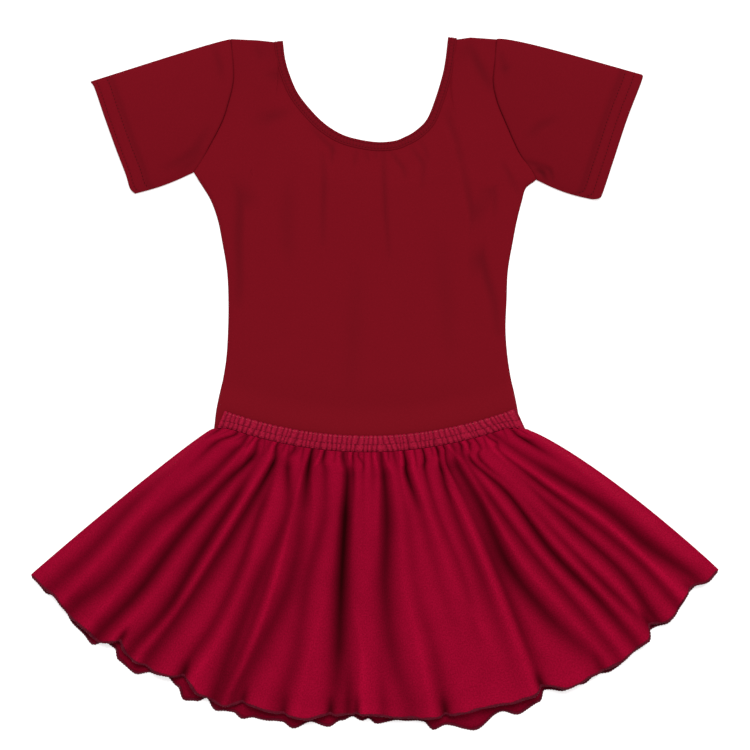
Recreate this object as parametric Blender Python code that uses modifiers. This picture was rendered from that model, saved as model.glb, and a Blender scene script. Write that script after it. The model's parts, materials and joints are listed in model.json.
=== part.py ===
"""Child's short-sleeve leotard with a gathered skirt, laid flat on its back.

Metres, +Z up, +Y towards the neck, +X to the wearer's left. The origin is on the surface
the garment lies on, under the middle of its outline. Sizes below are in millimetres.
"""
import bisect
import math
from collections import namedtuple

import bmesh
import bpy
from mathutils import Vector

MM = 0.001
LINE_STEPS = 12
WALL = 1.2
SEAM_GAP = 0.3
NECK_BINDING_WIDTH = 7.0
NECK_BINDING_THICKNESS = 1.3
CROWN = 1.15
BAND_HEIGHT = 12.0
BAND_THICKNESS = 2.0
BAND_RIBS = 58
RIB_HEIGHT = 0.7
PLAIN_BAND_STEPS = 80
# Ends of the casing along X: at its lower edge and at its upper edge.
BandEnd = namedtuple("BandEnd", "low_x top_x")
BAND_START = BandEnd(-121.3, -115.5)
BAND_STOP = BandEnd(115.6, 108.5)
# Section of the casing: share of the way up it, and height against its thickness.
BandRow = namedtuple("BandRow", "up swell")
BAND_SECTION = (BandRow(0, -0.5), BandRow(0.12, 0), BandRow(0.5, 0.2), BandRow(0.88, 0), BandRow(1, -0.5))
CROTCH_Y = -226.0
CHEST_ROW_Y = 140.0

# How high the lower face of the leotard back lies, by the distance below the casing's top edge.
Lift = namedtuple("Lift", "below height")
BACK_LIFT = (Lift(-24, 0.0), Lift(-3, 2.4), Lift(15, 2.4), Lift(34, 1.5))

# Side edges of the leotard from shoulder to crotch: armhole, underarm, side seam, leg opening.
SideRow = namedtuple("SideRow", "y left right")
BODICE_SIDES = (
    SideRow(265, -111.0, 93.3), SideRow(246, -109.3, 92.2), SideRow(231, -109.3, 91.1),
    SideRow(216, -112.8, 94.2), SideRow(200, -118.1, 100.7), SideRow(178, -129.6, 110.5),
    SideRow(167, -136.0, 117.9), SideRow(161.7, -139.7, 121.6), SideRow(156, -136.0, 124.2),
    SideRow(150, -132.2, 116.3), SideRow(140, -126.3, 113.2), SideRow(125, -121.0, 109.4),
    SideRow(109, -117.8, 106.3), SideRow(86, -114.0, 102.4), SideRow(63, -112.9, 101.4),
    SideRow(40, -113.2, 100.6), SideRow(17, -114.7, 102.4), SideRow(-6, -118.6, 106.3),
    SideRow(-22, -121.7, 109.3), SideRow(-37, -123.5, 111.5), SideRow(-60, -127.0, 116.0),
    SideRow(-84, -130.0, 119.0), SideRow(-104, -112.0, 101.0), SideRow(-136, -84.0, 73.0),
    SideRow(-172, -56.0, 45.0), SideRow(-205, -39.0, 28.0), SideRow(-226, -34.0, 23.0),
)
CHEST_ROWS_Y = (-226, -205, -180, -150, -118, -84, -60, -44, -30, -16, 0, 22, 46, 70, 94, 118, 140)
YOKE_ROWS = (0.08, 0.13, 0.176, 0.24, 0.33, 0.44, 0.56, 0.68, 0.79, 0.88, 0.95, 1.0)

# Free edge of the neck, from the wearer's right shoulder down the scoop to the left shoulder.
NECK_EDGE = (
    (-71.0, 262.6), (-69.3, 249.5), (-65.8, 237.2), (-59.5, 222.8), (-48.5, 208.7), (-37.7, 198.4),
    (-25.6, 191.0), (-12.7, 187.1), (2.0, 185.0), (14.6, 185.9), (22.3, 188.7), (31.0, 193.6),
    (39.9, 202.5), (46.0, 217.1), (51.6, 235.2), (54.2, 248.0), (56.2, 264.6),
)
NECK_STEPS = 21
# Turns of the neck strip as it folds over at a shoulder, as shares of a quarter turn.
FOLD_TURNS = (0.55, 0.0, -0.55)
SHOULDER_RIGHT = ((-111.0, 264.4), (-100.6, 264.0), (-90.3, 263.4))
SHOULDER_LEFT = ((73.6, 265.6), (83.6, 264.9), (93.3, 264.2))

# Soft creases pressed into the leotard front: line from x0, y0 to x1, y1.
Crease = namedtuple("Crease", "x0 y0 x1 y1 depth width")
CREASES = (
    Crease(-106, 165, -104, 57, 0.9, 8), Crease(55, 210, 75, 136, 0.9, 9),
    Crease(75, 136, 93, 37, 1.0, 9), Crease(72, 262, 90, 225, 0.7, 8),
    Crease(-93, 259, -68, 230, 0.7, 8), Crease(-31, 182, -41, 108, 0.6, 8),
    Crease(8, 178, 28, 79, 0.8, 9), Crease(28, 179, 43, 151, 0.6, 8),
)
BODICE_LOFT = 2.4
SHOULDER_EASE = 34.0
BAND_CLEAR = 4.0
BAND_EASE = 40.0

# Sleeves: the yoke row where each armhole starts, and the cuff edge from underarm to shoulder.
RIGHT_UNDERARM = 0.176
LEFT_UNDERARM = 0.13
RIGHT_CUFF = ((-185.2, 145.2), (-189.0, 149.4), (-192.2, 160.2), (-199.5, 179.4),
              (-208.4, 204.1), (-216.0, 226.0), (-219.6, 231.8))
LEFT_CUFF = ((167.6, 140.8), (173.4, 141.8), (176.0, 147.0), (183.2, 169.0), (194.4, 203.0),
             (205.8, 232.4), (206.2, 237.2))
RIGHT_TOP_BOW = 1.2
LEFT_TOP_BOW = 3.0
RIGHT_UNDER_BOW = 1.6
LEFT_UNDER_BOW = 2.0
SLEEVE_LOFT = 3.2
SLEEVE_END_LOFT = 0.35
SLEEVE_STATIONS = 9
CUFF_STEPS = 40
FOLD_INSET = 0.014

# The skirt's upper edge is a shallow arc; its lower edge is a smooth line through these points.
WAIST_LEFT_X = -126.3
WAIST_RIGHT_X = 116.0
WAIST_LOW_Y = -53.9
WAIST_CENTRE_X = -6.0
WAIST_CURVE = 0.0016
WAIST_END_REACH = 104.0
WAIST_END_DROP = 7.0
BAND_END_DROP = 6.2
WAIST_END_LENGTH = 18.0
HEM_LINE = (
    (-264.8, -148.2), (-238, -176), (-198, -207), (-142, -236), (-88, -252.5), (-35, -257.5), (19, -259),
    (73, -255), (127, -239), (173, -223), (208, -198.5), (236, -171), (264.5, -144.5),
)
HEM_STEPS = 160
RIGHT_SIDE_BOW = 2.3
LEFT_SIDE_BOW = 7.4
RIGHT_BOW_WAY = Vector((-0.62, 0.78))
LEFT_BOW_WAY = Vector((0.58, 0.81))
SIDE_BOW_REACH = 0.28

# Folds of the skirt front. Each row is one trough between two ridges: where it lies along the
# skirt (u) and how deep it is (d, as a share of the fold height) at five levels, waist to hem.
LEVELS = (0.0, 0.25, 0.5, 0.75, 1.0)
Trough = namedtuple("Trough", "u_waist u_high u_mid u_low u_hem d_waist d_high d_mid d_low d_hem")
TROUGHS = (
    Trough(0.043, 0.040, 0.018, 0.032, 0.036, 0.50, 0.15, 0.35, 0.35, 0.25),
    Trough(0.109, 0.093, 0.071, 0.079, 0.071, 0.50, 0.55, 0.55, 0.55, 0.60),
    Trough(0.148, 0.134, 0.127, 0.128, 0.120, 0.70, 0.72, 0.72, 0.76, 0.70),
    Trough(0.168, 0.179, 0.176, 0.178, 0.166, 0.60, 0.55, 0.60, 0.60, 0.50),
    Trough(0.208, 0.217, 0.208, 0.199, 0.187, 0.90, 0.74, 0.66, 0.62, 0.55),
    Trough(0.229, 0.246, 0.255, 0.251, 0.238, 0.50, 0.52, 0.50, 0.42, 0.50),
    Trough(0.260, 0.305, 0.302, 0.291, 0.289, 0.50, 0.42, 0.55, 0.55, 0.60),
    Trough(0.316, 0.344, 0.349, 0.329, 0.314, 0.90, 0.45, 0.55, 0.55, 0.50),
    Trough(0.360, 0.389, 0.381, 0.381, 0.377, 0.50, 0.35, 0.40, 0.35, 0.40),
    Trough(0.420, 0.437, 0.441, 0.445, 0.446, 0.80, 0.95, 0.92, 0.70, 0.45),
    Trough(0.478, 0.484, 0.490, 0.500, 0.505, 0.30, 0.06, 0.05, 0.22, 0.20),
    Trough(0.532, 0.534, 0.522, 0.530, 0.545, 0.70, 0.75, 0.66, 0.45, 0.25),
    Trough(0.604, 0.585, 0.574, 0.588, 0.589, 0.90, 0.30, 0.22, 0.25, 0.45),
    Trough(0.661, 0.652, 0.655, 0.654, 0.650, 0.70, 0.30, 0.25, 0.12, 0.05),
    Trough(0.704, 0.689, 0.694, 0.692, 0.690, 0.80, 0.42, 0.40, 0.22, 0.10),
    Trough(0.722, 0.722, 0.724, 0.723, 0.721, 0.50, 0.30, 0.40, 0.42, 0.55),
    Trough(0.742, 0.752, 0.751, 0.772, 0.783, 0.60, 0.82, 0.82, 0.65, 0.20),
    Trough(0.778, 0.780, 0.796, 0.814, 0.824, 0.60, 0.42, 0.46, 0.46, 0.30),
    Trough(0.806, 0.824, 0.828, 0.846, 0.853, 0.55, 0.70, 0.72, 0.70, 0.45),
    Trough(0.842, 0.856, 0.862, 0.868, 0.876, 0.30, 0.06, 0.12, 0.45, 0.35),
    Trough(0.878, 0.889, 0.884, 0.898, 0.897, 0.75, 0.50, 0.50, 0.52, 0.70),
    Trough(0.900, 0.921, 0.914, 0.926, 0.927, 0.40, 0.50, 0.46, 0.46, 0.40),
    Trough(0.957, 0.952, 0.954, 0.957, 0.971, 0.70, 0.12, 0.50, 0.70, 0.70),
)
FOLD_STEPS = (0.27, 0.5, 0.73)
TROUGH_HALF_WIDTH = 4.4
TROUGH_SPREAD = 2.6
SKIRT_TOP_LENGTH = 240.0
SKIRT_HEM_LENGTH = 610.0
SKIRT_ROWS = (0.0, 0.035, 0.09, 0.17, 0.28, 0.4, 0.52, 0.65, 0.78, 0.9, 1.0)
FoldHeight = namedtuple("FoldHeight", "v height")
FOLD_HEIGHTS = (FoldHeight(0.0, 2.4), FoldHeight(0.09, 5.0), FoldHeight(0.3, 8.0),
                FoldHeight(0.6, 8.6), FoldHeight(1.0, 8.0))
EDGE_FADE = 0.03
# Small gathers just under the casing: every other column stands this much higher.
GATHER_HEIGHT = 1.0
GATHER_REACH = 0.17
REST_ON_LEOTARD = 3.2
LEOTARD_RIM = 14.0
RIM_EASE = 11.0

# Where each hem really ends, as a share of the way from waist to hem line.
HemRow = namedtuple("HemRow", "u v")
FRONT_HEM = (
    HemRow(0.0, 1.0), HemRow(0.04, 0.986), HemRow(0.09, 1.0), HemRow(0.12, 1.006), HemRow(0.145, 0.968),
    HemRow(0.165, 0.99), HemRow(0.2, 0.993), HemRow(0.245, 0.972), HemRow(0.27, 1.0),
    HemRow(0.3, 1.016), HemRow(0.325, 0.988), HemRow(0.38, 0.997), HemRow(0.41, 1.008),
    HemRow(0.435, 0.99), HemRow(0.49, 0.978), HemRow(0.54, 0.994), HemRow(0.59, 0.998),
    HemRow(0.63, 0.982), HemRow(0.7, 1.0), HemRow(0.73, 0.982), HemRow(0.75, 1.004), HemRow(0.8, 0.998),
    HemRow(0.85, 1.004), HemRow(0.872, 1.006), HemRow(0.885, 0.972), HemRow(0.915, 1.004),
    HemRow(0.945, 0.986), HemRow(0.96, 0.976), HemRow(0.98, 1.0), HemRow(1.0, 1.0),
)
BACK_HEM = (
    HemRow(0.0, 1.0), HemRow(0.03, 1.003), HemRow(0.04, 0.991), HemRow(0.06, 1.0), HemRow(0.09, 1.02),
    HemRow(0.117, 1.034), HemRow(0.13, 0.997), HemRow(0.145, 1.0), HemRow(0.157, 1.03),
    HemRow(0.183, 1.044), HemRow(0.2, 1.005), HemRow(0.22, 0.997), HemRow(0.24, 1.011),
    HemRow(0.253, 1.048), HemRow(0.268, 1.036), HemRow(0.28, 1.012), HemRow(0.297, 1.042),
    HemRow(0.317, 1.026), HemRow(0.33, 1.046), HemRow(0.345, 1.034), HemRow(0.36, 1.035),
    HemRow(0.38, 1.027), HemRow(0.395, 1.048), HemRow(0.415, 1.022), HemRow(0.438, 1.038),
    HemRow(0.455, 1.008), HemRow(0.47, 0.991), HemRow(0.482, 1.005), HemRow(0.49, 0.996),
    HemRow(0.5, 1.015), HemRow(0.525, 1.004), HemRow(0.562, 1.01), HemRow(0.572, 1.044),
    HemRow(0.588, 1.028), HemRow(0.625, 1.064), HemRow(0.658, 1.022), HemRow(0.68, 1.048),
    HemRow(0.71, 1.034), HemRow(0.722, 0.996), HemRow(0.745, 1.018), HemRow(0.77, 1.014),
    HemRow(0.79, 1.002), HemRow(0.81, 1.016), HemRow(0.838, 1.006), HemRow(0.872, 1.014),
    HemRow(0.881, 0.98), HemRow(0.912, 1.014), HemRow(0.935, 0.992), HemRow(0.96, 0.983),
    HemRow(0.98, 1.008), HemRow(1.0, 1.003),
)
BACK_ROWS = (0.0, 0.2, 0.45, 0.7, 0.9, 1.0)

Finish = namedtuple("Finish", "name colour roughness sheen")
BURGUNDY_KNIT = Finish("burgundy_knit", (0.188, 0.0052, 0.0123, 1.0), 0.85, 0.25)
RASPBERRY_KNIT = Finish("raspberry_knit", (0.276, 0.0028, 0.0242, 1.0), 0.8, 0.35)
RASPBERRY_CASING = Finish("raspberry_casing", (0.223, 0.0065, 0.0232, 1.0), 0.85, 0.35)


def clear_scene():
    """Remove whatever the open file already holds."""
    for item in list(bpy.data.objects):
        bpy.data.objects.remove(item, do_unlink=True)


def clamp(value, low=0.0, high=1.0):
    """Keep a value between two others."""
    return max(low, min(high, value))


def ease(value):
    """Smooth step from 0 to 1."""
    share = clamp(value)
    return share * share * (3 - 2 * share)


def read_table(rows, place):
    """Value of a two-column table at a place, eased between its rows."""
    places = [row[0] for row in rows]
    above = clamp(bisect.bisect_right(places, place), 1, len(rows) - 1)
    start, stop = rows[above - 1], rows[above]
    return start[1] + (stop[1] - start[1]) * ease((place - start[0]) / (stop[0] - start[0]))


def cubic(before, start, stop, after, share):
    """Point of a curve that passes through start and stop and heeds their neighbours."""
    slope_in = (stop - before) / 2
    slope_out = (after - start) / 2
    bend = 3 * (stop - start) - 2 * slope_in - slope_out
    twist = 2 * (start - stop) + slope_in + slope_out
    return start + share * (slope_in + share * (bend + share * twist))


def smooth_line(points, count):
    """Evenly spaced points of the smooth curve through some plan points."""
    knots = [Vector(point) for point in points]
    knots = [2 * knots[0] - knots[1]] + knots + [2 * knots[-1] - knots[-2]]
    dense = []
    for first in range(len(knots) - 3):
        dense += [cubic(*knots[first:first + 4], step / LINE_STEPS) for step in range(LINE_STEPS)]
    dense.append(knots[-2])
    lengths = [0.0]
    for start, stop in zip(dense, dense[1:]):
        lengths.append(lengths[-1] + (stop - start).length)
    line = []
    for number in range(count):
        wanted = lengths[-1] * number / (count - 1)
        after = clamp(bisect.bisect_right(lengths, wanted), 1, len(lengths) - 1)
        share = (wanted - lengths[after - 1]) / (lengths[after] - lengths[after - 1])
        line.append(dense[after - 1].lerp(dense[after], clamp(share)))
    return line


def shares_along(line):
    """Each point's share of the way along a line of points."""
    lengths = [0.0]
    for start, stop in zip(line, line[1:]):
        lengths.append(lengths[-1] + (stop - start).length)
    return [length / lengths[-1] for length in lengths]


def point_along(line, share):
    """Point at a share of the way along a line of points."""
    shares = shares_along(line)
    after = clamp(bisect.bisect_right(shares, share), 1, len(line) - 1)
    part = (share - shares[after - 1]) / (shares[after] - shares[after - 1])
    return line[after - 1].lerp(line[after], clamp(part))


def point_on(line, share):
    """Point at a share of the way along an evenly spaced line."""
    place = clamp(share) * (len(line) - 1)
    first = min(int(place), len(line) - 2)
    return line[first].lerp(line[first + 1], place - first)


def material_for(finish):
    """The finish as a Principled material, made once."""
    found = bpy.data.materials.get(finish.name)
    if found:
        return found
    material = bpy.data.materials.new(finish.name)
    material.use_nodes = True
    shader = material.node_tree.nodes["Principled BSDF"]
    shader.inputs["Base Color"].default_value = finish.colour
    shader.inputs["Roughness"].default_value = finish.roughness
    shader.inputs["Metallic"].default_value = 0.0
    shader.inputs["Sheen Weight"].default_value = finish.sheen
    material.diffuse_color = finish.colour
    return material


def keep(name, shape, finish, collection):
    """Turn a bmesh in millimetres into a named, shaded object of the garment."""
    bmesh.ops.scale(shape, vec=(MM, MM, MM), verts=shape.verts)
    mesh = bpy.data.meshes.new(name)
    shape.to_mesh(mesh)
    shape.free()
    mesh.shade_smooth()
    mesh.materials.append(material_for(finish))
    piece = bpy.data.objects.new(name, mesh)
    collection.objects.link(piece)
    return piece


def panel(name, columns, rows, position, finish, collection):
    """A cloth panel: a grid laid out by position(column, row), with its wall grown upwards."""
    shape = bmesh.new()
    bmesh.ops.create_grid(shape, x_segments=columns, y_segments=rows, size=1)
    for vertex in shape.verts:
        column = round((vertex.co.x + 1) / 2 * columns)
        row = round((vertex.co.y + 1) / 2 * rows)
        vertex.co = position(column, row)
    piece = keep(name, shape, finish, collection)
    wall = piece.modifiers.new("wall", "SOLIDIFY")
    wall.thickness = WALL * MM
    wall.offset = 1
    wall.use_quality_normals = True
    return piece


def loft(name, rings, closed, finish, collection):
    """A solid through rings of points; closed joins the last ring to the first."""
    shape = bmesh.new()
    loops = [[shape.verts.new(point) for point in ring] for ring in rings]
    pairs = list(zip(loops, loops[1:]))
    if closed:
        pairs.append((loops[-1], loops[0]))
    else:
        shape.faces.new(loops[0])
        shape.faces.new(loops[-1])
    for start, stop in pairs:
        for index, vertex in enumerate(start):
            after = (index + 1) % len(start)
            shape.faces.new((vertex, start[after], stop[after], stop[index]))
    bmesh.ops.triangulate(shape, faces=[face for face in shape.faces if len(face.verts) > 4])
    bmesh.ops.recalc_face_normals(shape, faces=shape.faces)
    return keep(name, shape, finish, collection)


def waist_y(x, end_drop=WAIST_END_DROP):
    """Height on the plan of the skirt's upper edge, which drops at both ends."""
    reach = abs(x - WAIST_CENTRE_X)
    drop = end_drop * (max(0.0, reach - WAIST_END_REACH) / WAIST_END_LENGTH) ** 1.5
    return WAIST_LOW_Y + WAIST_CURVE * reach * reach - drop


def band_top_y(x):
    """Height on the plan of the casing's upper edge."""
    return WAIST_LOW_Y + SEAM_GAP + BAND_HEIGHT + WAIST_CURVE * (x - WAIST_CENTRE_X) ** 2


def back_height(x, y):
    """Height of the leotard back's lower face: on the surface, and over the casing and skirt."""
    return read_table(BACK_LIFT, band_top_y(x) - y)


def side_x(y, side):
    """Side edge of the leotard at a height on the plan; side is left or right in SideRow."""
    rows = [(-row.y, getattr(row, side)) for row in BODICE_SIDES]
    place = clamp(-y, rows[0][0], rows[-1][0])
    above = clamp(bisect.bisect_right([row[0] for row in rows], place), 1, len(rows) - 1)
    start, stop = rows[above - 1], rows[above]
    return start[1] + (stop[1] - start[1]) * (place - start[0]) / (stop[0] - start[0])


def neck_line(outward, count):
    """The neck's free edge moved outward by a distance."""
    line = smooth_line(NECK_EDGE, count)
    moved = []
    for index, point in enumerate(line):
        along = line[min(index + 1, count - 1)] - line[max(index - 1, 0)]
        along.normalize()
        moved.append(point + outward * Vector((along.y, -along.x)))
    return moved


def bodice_top():
    """Upper edge of a bodice panel: shoulder, neck scoop, shoulder."""
    neck = neck_line(NECK_BINDING_WIDTH + SEAM_GAP, NECK_STEPS)
    return [Vector(point) for point in SHOULDER_RIGHT] + neck + [Vector(point) for point in SHOULDER_LEFT]


def bodice_grid():
    """Plan points of a bodice panel as rows from crotch to shoulder, with each point's share across."""
    top = bodice_top()
    shares = []
    for point in top:
        left, right = side_x(point.y, "left"), side_x(point.y, "right")
        shares.append((point.x - left) / (right - left))
    heights = [[y] * len(top) for y in CHEST_ROWS_Y]
    heights += [[CHEST_ROW_Y + rise * (point.y - CHEST_ROW_Y) for point in top] for rise in YOKE_ROWS]
    rows = []
    for row in heights:
        lefts = [side_x(y, "left") for y in row]
        rights = [side_x(y, "right") for y in row]
        rows.append([Vector((left + share * (right - left), y))
                     for left, right, share, y in zip(lefts, rights, shares, row)])
    return rows, shares, top


def crease_depth(x, y):
    """How far the creases press the leotard front down at a place."""
    total = 0.0
    for crease in CREASES:
        start, stop = Vector((crease.x0, crease.y0)), Vector((crease.x1, crease.y1))
        run = stop - start
        here = Vector((x, y)) - start
        along = clamp(here.dot(run) / run.length_squared)
        away = (here - along * run).length
        total += crease.depth * math.exp(-(away / crease.width) ** 2)
    return total


def bodice_loft(share, x, y, top_y):
    """How far the leotard front stands above lying dead flat on the back."""
    across = 1 - (2 * share - 1) ** 4
    below_top = ease((top_y - y) / SHOULDER_EASE)
    above_band = ease((y - band_top_y(x) - BAND_CLEAR) / BAND_EASE)
    raised = BODICE_LOFT * across * below_top * above_band
    return max(0.0, raised - crease_depth(x, y) * min(1.0, raised))


def make_bodice(collection):
    """Front and back of the leotard, the front lying on the back. Returns their plan points."""
    rows, shares, top = bodice_grid()

    def back(column, row):
        point = rows[row][column]
        return Vector((point.x, point.y, back_height(point.x, point.y)))

    def front(column, row):
        point = rows[row][column]
        lift = back_height(point.x, point.y) + WALL + SEAM_GAP
        return Vector((point.x, point.y, lift + bodice_loft(shares[column], point.x, point.y, top[column].y)))

    columns, last_row = len(top) - 1, len(rows) - 1
    panel("bodice_back", columns, last_row, back, BURGUNDY_KNIT, collection)
    panel("bodice_front", columns, last_row, front, BURGUNDY_KNIT, collection)
    return rows


def make_neck_binding(collection):
    """One closed strip round the neck, folded over at both shoulders."""
    inner = neck_line(0.0, NECK_STEPS)
    outer = neck_line(NECK_BINDING_WIDTH, NECK_STEPS)
    half = NECK_BINDING_THICKNESS / 2
    low, high = half * CROWN, half * (2 + CROWN) + 2 * SEAM_GAP
    radius, middle = (high - low) / 2, (high + low) / 2
    rings = []

    def section(inside, outside, side, rise, end):
        """Strip across at one place: side turns from up, 90 degrees, to down, -90 degrees."""
        lift, push = math.sin(side), math.cos(side)
        centre = Vector((0, end * push * radius, middle + rise * radius))
        out = Vector((0, end * push, lift))
        points = []
        for edge, weight in ((inside, 1.0), (inside.lerp(outside, 0.5), CROWN), (outside, 1.0)):
            points.append(Vector((edge.x, edge.y, 0)) + centre + out * half * weight)
        for edge in (outside, inside):
            points.append(Vector((edge.x, edge.y, 0)) + centre - out * half)
        return points

    quarter = math.pi / 2
    turns = [quarter * share for share in FOLD_TURNS]
    for inside, outside in zip(inner, outer):
        rings.append(section(inside, outside, quarter, 1.0, 1))
    for side in turns:
        rings.append(section(inner[-1], outer[-1], side, math.sin(side), 1))
    for inside, outside in zip(reversed(inner), reversed(outer)):
        rings.append(section(inside, outside, -quarter, -1.0, 1))
    for side in reversed(turns):
        rings.append(section(inner[0], outer[0], side, math.sin(side), 1))
    loft("neck_binding", rings, True, BURGUNDY_KNIT, collection)


def armhole_line(rows, underarm, side):
    """Edge of a bodice panel from underarm to shoulder, moved out by the seam gap."""
    first = len(CHEST_ROWS_Y) + YOKE_ROWS.index(underarm)
    edge = [row[side] for row in rows[first:]]
    line = []
    for index, point in enumerate(edge):
        along = edge[min(index + 1, len(edge) - 1)] - edge[max(index - 1, 0)]
        outward = Vector((-along.y, along.x)) if side == 0 else Vector((along.y, -along.x))
        line.append(point + SEAM_GAP * outward.normalized())
    return line


def make_sleeve(name, armhole, cuff, top_bow, under_bow, collection):
    """A flattened sleeve: outer rings from armhole to cuff, inner rings back again."""
    cuff_line = smooth_line(cuff, CUFF_STEPS)
    spread = shares_along(armhole)
    middle = WALL + SEAM_GAP / 2
    outer, inner = [], []
    for station in range(SLEEVE_STATIONS):
        along = station / (SLEEVE_STATIONS - 1)
        upper, lower, upper_in, lower_in = [], [], [], []
        for across in spread:
            bow = math.sin(math.pi * math.sqrt(along)) * top_bow * across ** 3
            bow -= math.sin(math.pi * along) * under_bow * (1 - across) ** 3
            plan = point_along(armhole, across).lerp(point_along(cuff_line, across), along)
            inset = clamp(across, FOLD_INSET, 1 - FOLD_INSET)
            plan_in = point_along(armhole, inset).lerp(point_along(cuff_line, inset), along)
            rim = 1 - abs(2 * across - 1) ** 6
            fullness = SLEEVE_END_LOFT + (1 - SLEEVE_END_LOFT) * math.sin(math.pi * along)
            puff = SLEEVE_LOFT * math.sin(math.pi * across) ** 0.8 * fullness
            slit = SEAM_GAP / 2 * rim
            upper.append(Vector((plan.x, plan.y + bow, middle + rim * (middle + puff))))
            lower.append(Vector((plan.x, plan.y + bow, middle * (1 - rim))))
            upper_in.append(Vector((plan_in.x, plan_in.y + bow, middle + slit + rim * puff)))
            lower_in.append(Vector((plan_in.x, plan_in.y + bow, middle - slit)))
        outer.append(upper + lower[-2:0:-1])
        inner.append(upper_in + lower_in[-2:0:-1])
    loft(name, outer + inner[::-1], True, BURGUNDY_KNIT, collection)


def make_waistband(name, floor, ribbed, collection):
    """A strip of the elastic casing; the front one has gathers raised over a plain inside."""
    steps = BAND_RIBS * 2 if ribbed else PLAIN_BAND_STEPS
    rings = []
    for step in range(steps + 1):
        share = step / steps
        rib = RIB_HEIGHT * (step % 2) if ribbed else 0.0
        section = [(row.up, BAND_THICKNESS + row.swell + rib) for row in BAND_SECTION]
        rings.append([])
        low_x = BAND_START.low_x + share * (BAND_STOP.low_x - BAND_START.low_x)
        top_x = BAND_START.top_x + share * (BAND_STOP.top_x - BAND_START.top_x)
        low = Vector((low_x, waist_y(low_x, BAND_END_DROP) + SEAM_GAP, floor))
        top = Vector((top_x, band_top_y(top_x), floor))
        for up, height in section + [(1, 0.0), (0, 0.0)]:
            rings[-1].append(low.lerp(top, up) + Vector((0, 0, height)))
    loft(name, rings, False, RASPBERRY_CASING, collection)


def fan(u, v, hem):
    """Plan point of the skirt: u along it from the wearer's right, v from the waist to the hem line."""
    x = WAIST_LEFT_X + u * (WAIST_RIGHT_X - WAIST_LEFT_X)
    waist = Vector((x, waist_y(x)))
    point = waist * (1 - v) + point_on(hem, u) * v
    bulge = math.sin(math.pi * clamp(v) ** 0.75) ** 0.8
    right_bow = RIGHT_SIDE_BOW * bulge * clamp(1 - u / SIDE_BOW_REACH) ** 1.5
    left_bow = LEFT_SIDE_BOW * bulge * clamp(1 - (1 - u) / SIDE_BOW_REACH) ** 1.5
    return point + right_bow * RIGHT_BOW_WAY + left_bow * LEFT_BOW_WAY


def trough_state(trough, v):
    """Where a trough lies and how deep it is at a level of the skirt."""
    place = clamp(v) * (len(LEVELS) - 1)
    first = min(int(place), len(LEVELS) - 2)
    share = place - first
    places, depths = trough[:5], trough[5:]
    around = [places[clamp(first + step, 0, 4)] for step in (-1, 0, 1, 2)]
    return cubic(*around, share), depths[first] + (depths[first + 1] - depths[first]) * share


def fold_columns(v):
    """Places along the skirt of each trough and of the ridge steps between them."""
    troughs = [trough_state(trough, v)[0] for trough in TROUGHS]
    stops = [0.0] + troughs + [1.0]
    columns = []
    for start, stop in zip(stops, stops[1:]):
        columns += [start] + [start + share * (stop - start) for share in FOLD_STEPS]
    return columns + [1.0]


def fold_height(u, v):
    """Height of the folds above the lowest they reach."""
    length = SKIRT_TOP_LENGTH + (SKIRT_HEM_LENGTH - SKIRT_TOP_LENGTH) * v
    breadth = (TROUGH_HALF_WIDTH + TROUGH_SPREAD * v) / length
    share = 1.0
    for trough in TROUGHS:
        place, depth = trough_state(trough, v)
        share *= 1 - depth * math.exp(-((u - place) / breadth) ** 2)
    edge = ease(u / EDGE_FADE) * ease((1 - u) / EDGE_FADE)
    return read_table(FOLD_HEIGHTS, v) * share * edge


def over_leotard(x, y):
    """How much higher the skirt front lies where the leotard is under it."""
    inside = min(x - side_x(y, "left"), side_x(y, "right") - x, y - CROTCH_Y)
    covered = ease((inside + LEOTARD_RIM) / RIM_EASE)
    return covered * (REST_ON_LEOTARD + back_height(x, y) - BACK_LIFT[-1].height)


def make_skirt(collection):
    """Skirt front in folds over the leotard, and the flat skirt back under it."""
    hem = smooth_line(HEM_LINE, HEM_STEPS)
    levels = SKIRT_ROWS[::-1]
    columns_at = [fold_columns(v) for v in levels]

    def front(column, row):
        u = columns_at[row][column]
        v = levels[row] * read_table(FRONT_HEM, u)
        point = fan(u, v, hem)
        lift = WALL + SEAM_GAP + over_leotard(point.x, point.y)
        gather = GATHER_HEIGHT * (column % 2) * clamp(1 - levels[row] / GATHER_REACH)
        return Vector((point.x, point.y, lift + fold_height(u, levels[row]) + gather))

    places = [row.u for row in BACK_HEM]
    places = sorted(places + [(start + stop) / 2 for start, stop in zip(places, places[1:])])

    def back(column, row):
        u = places[column]
        level = BACK_ROWS[::-1][row]
        point = fan(u, level * read_table(BACK_HEM, u), hem)
        return Vector((point.x, point.y, 0.0))

    panel("skirt_front", len(columns_at[0]) - 1, len(levels) - 1, front, RASPBERRY_KNIT, collection)
    panel("skirt_back", len(places) - 1, len(BACK_ROWS) - 1, back, RASPBERRY_KNIT, collection)


def main():
    """Build the garment piece by piece."""
    clear_scene()
    collection = bpy.data.collections.new("short_sleeve_skirted_leotard")
    bpy.context.scene.collection.children.link(collection)
    rows = make_bodice(collection)
    make_neck_binding(collection)
    right_armhole = armhole_line(rows, RIGHT_UNDERARM, 0)
    left_armhole = armhole_line(rows, LEFT_UNDERARM, -1)
    make_sleeve("right_sleeve", right_armhole, RIGHT_CUFF, RIGHT_TOP_BOW, RIGHT_UNDER_BOW, collection)
    make_sleeve("left_sleeve", left_armhole, LEFT_CUFF, LEFT_TOP_BOW, LEFT_UNDER_BOW, collection)
    band_floor = BACK_LIFT[1].height + 2 * WALL + 2 * SEAM_GAP
    make_waistband("waistband_front", band_floor, True, collection)
    make_waistband("waistband_back", 0.0, False, collection)
    make_skirt(collection)


main()
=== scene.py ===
"""Looks of a child's short-sleeve leotard with a gathered skirt, laid flat and seen from above.

Lengths are in millimetres until a mesh is made. +X is the wearer's left, +Y the neck, +Z up.
"""
from __future__ import annotations

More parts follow.
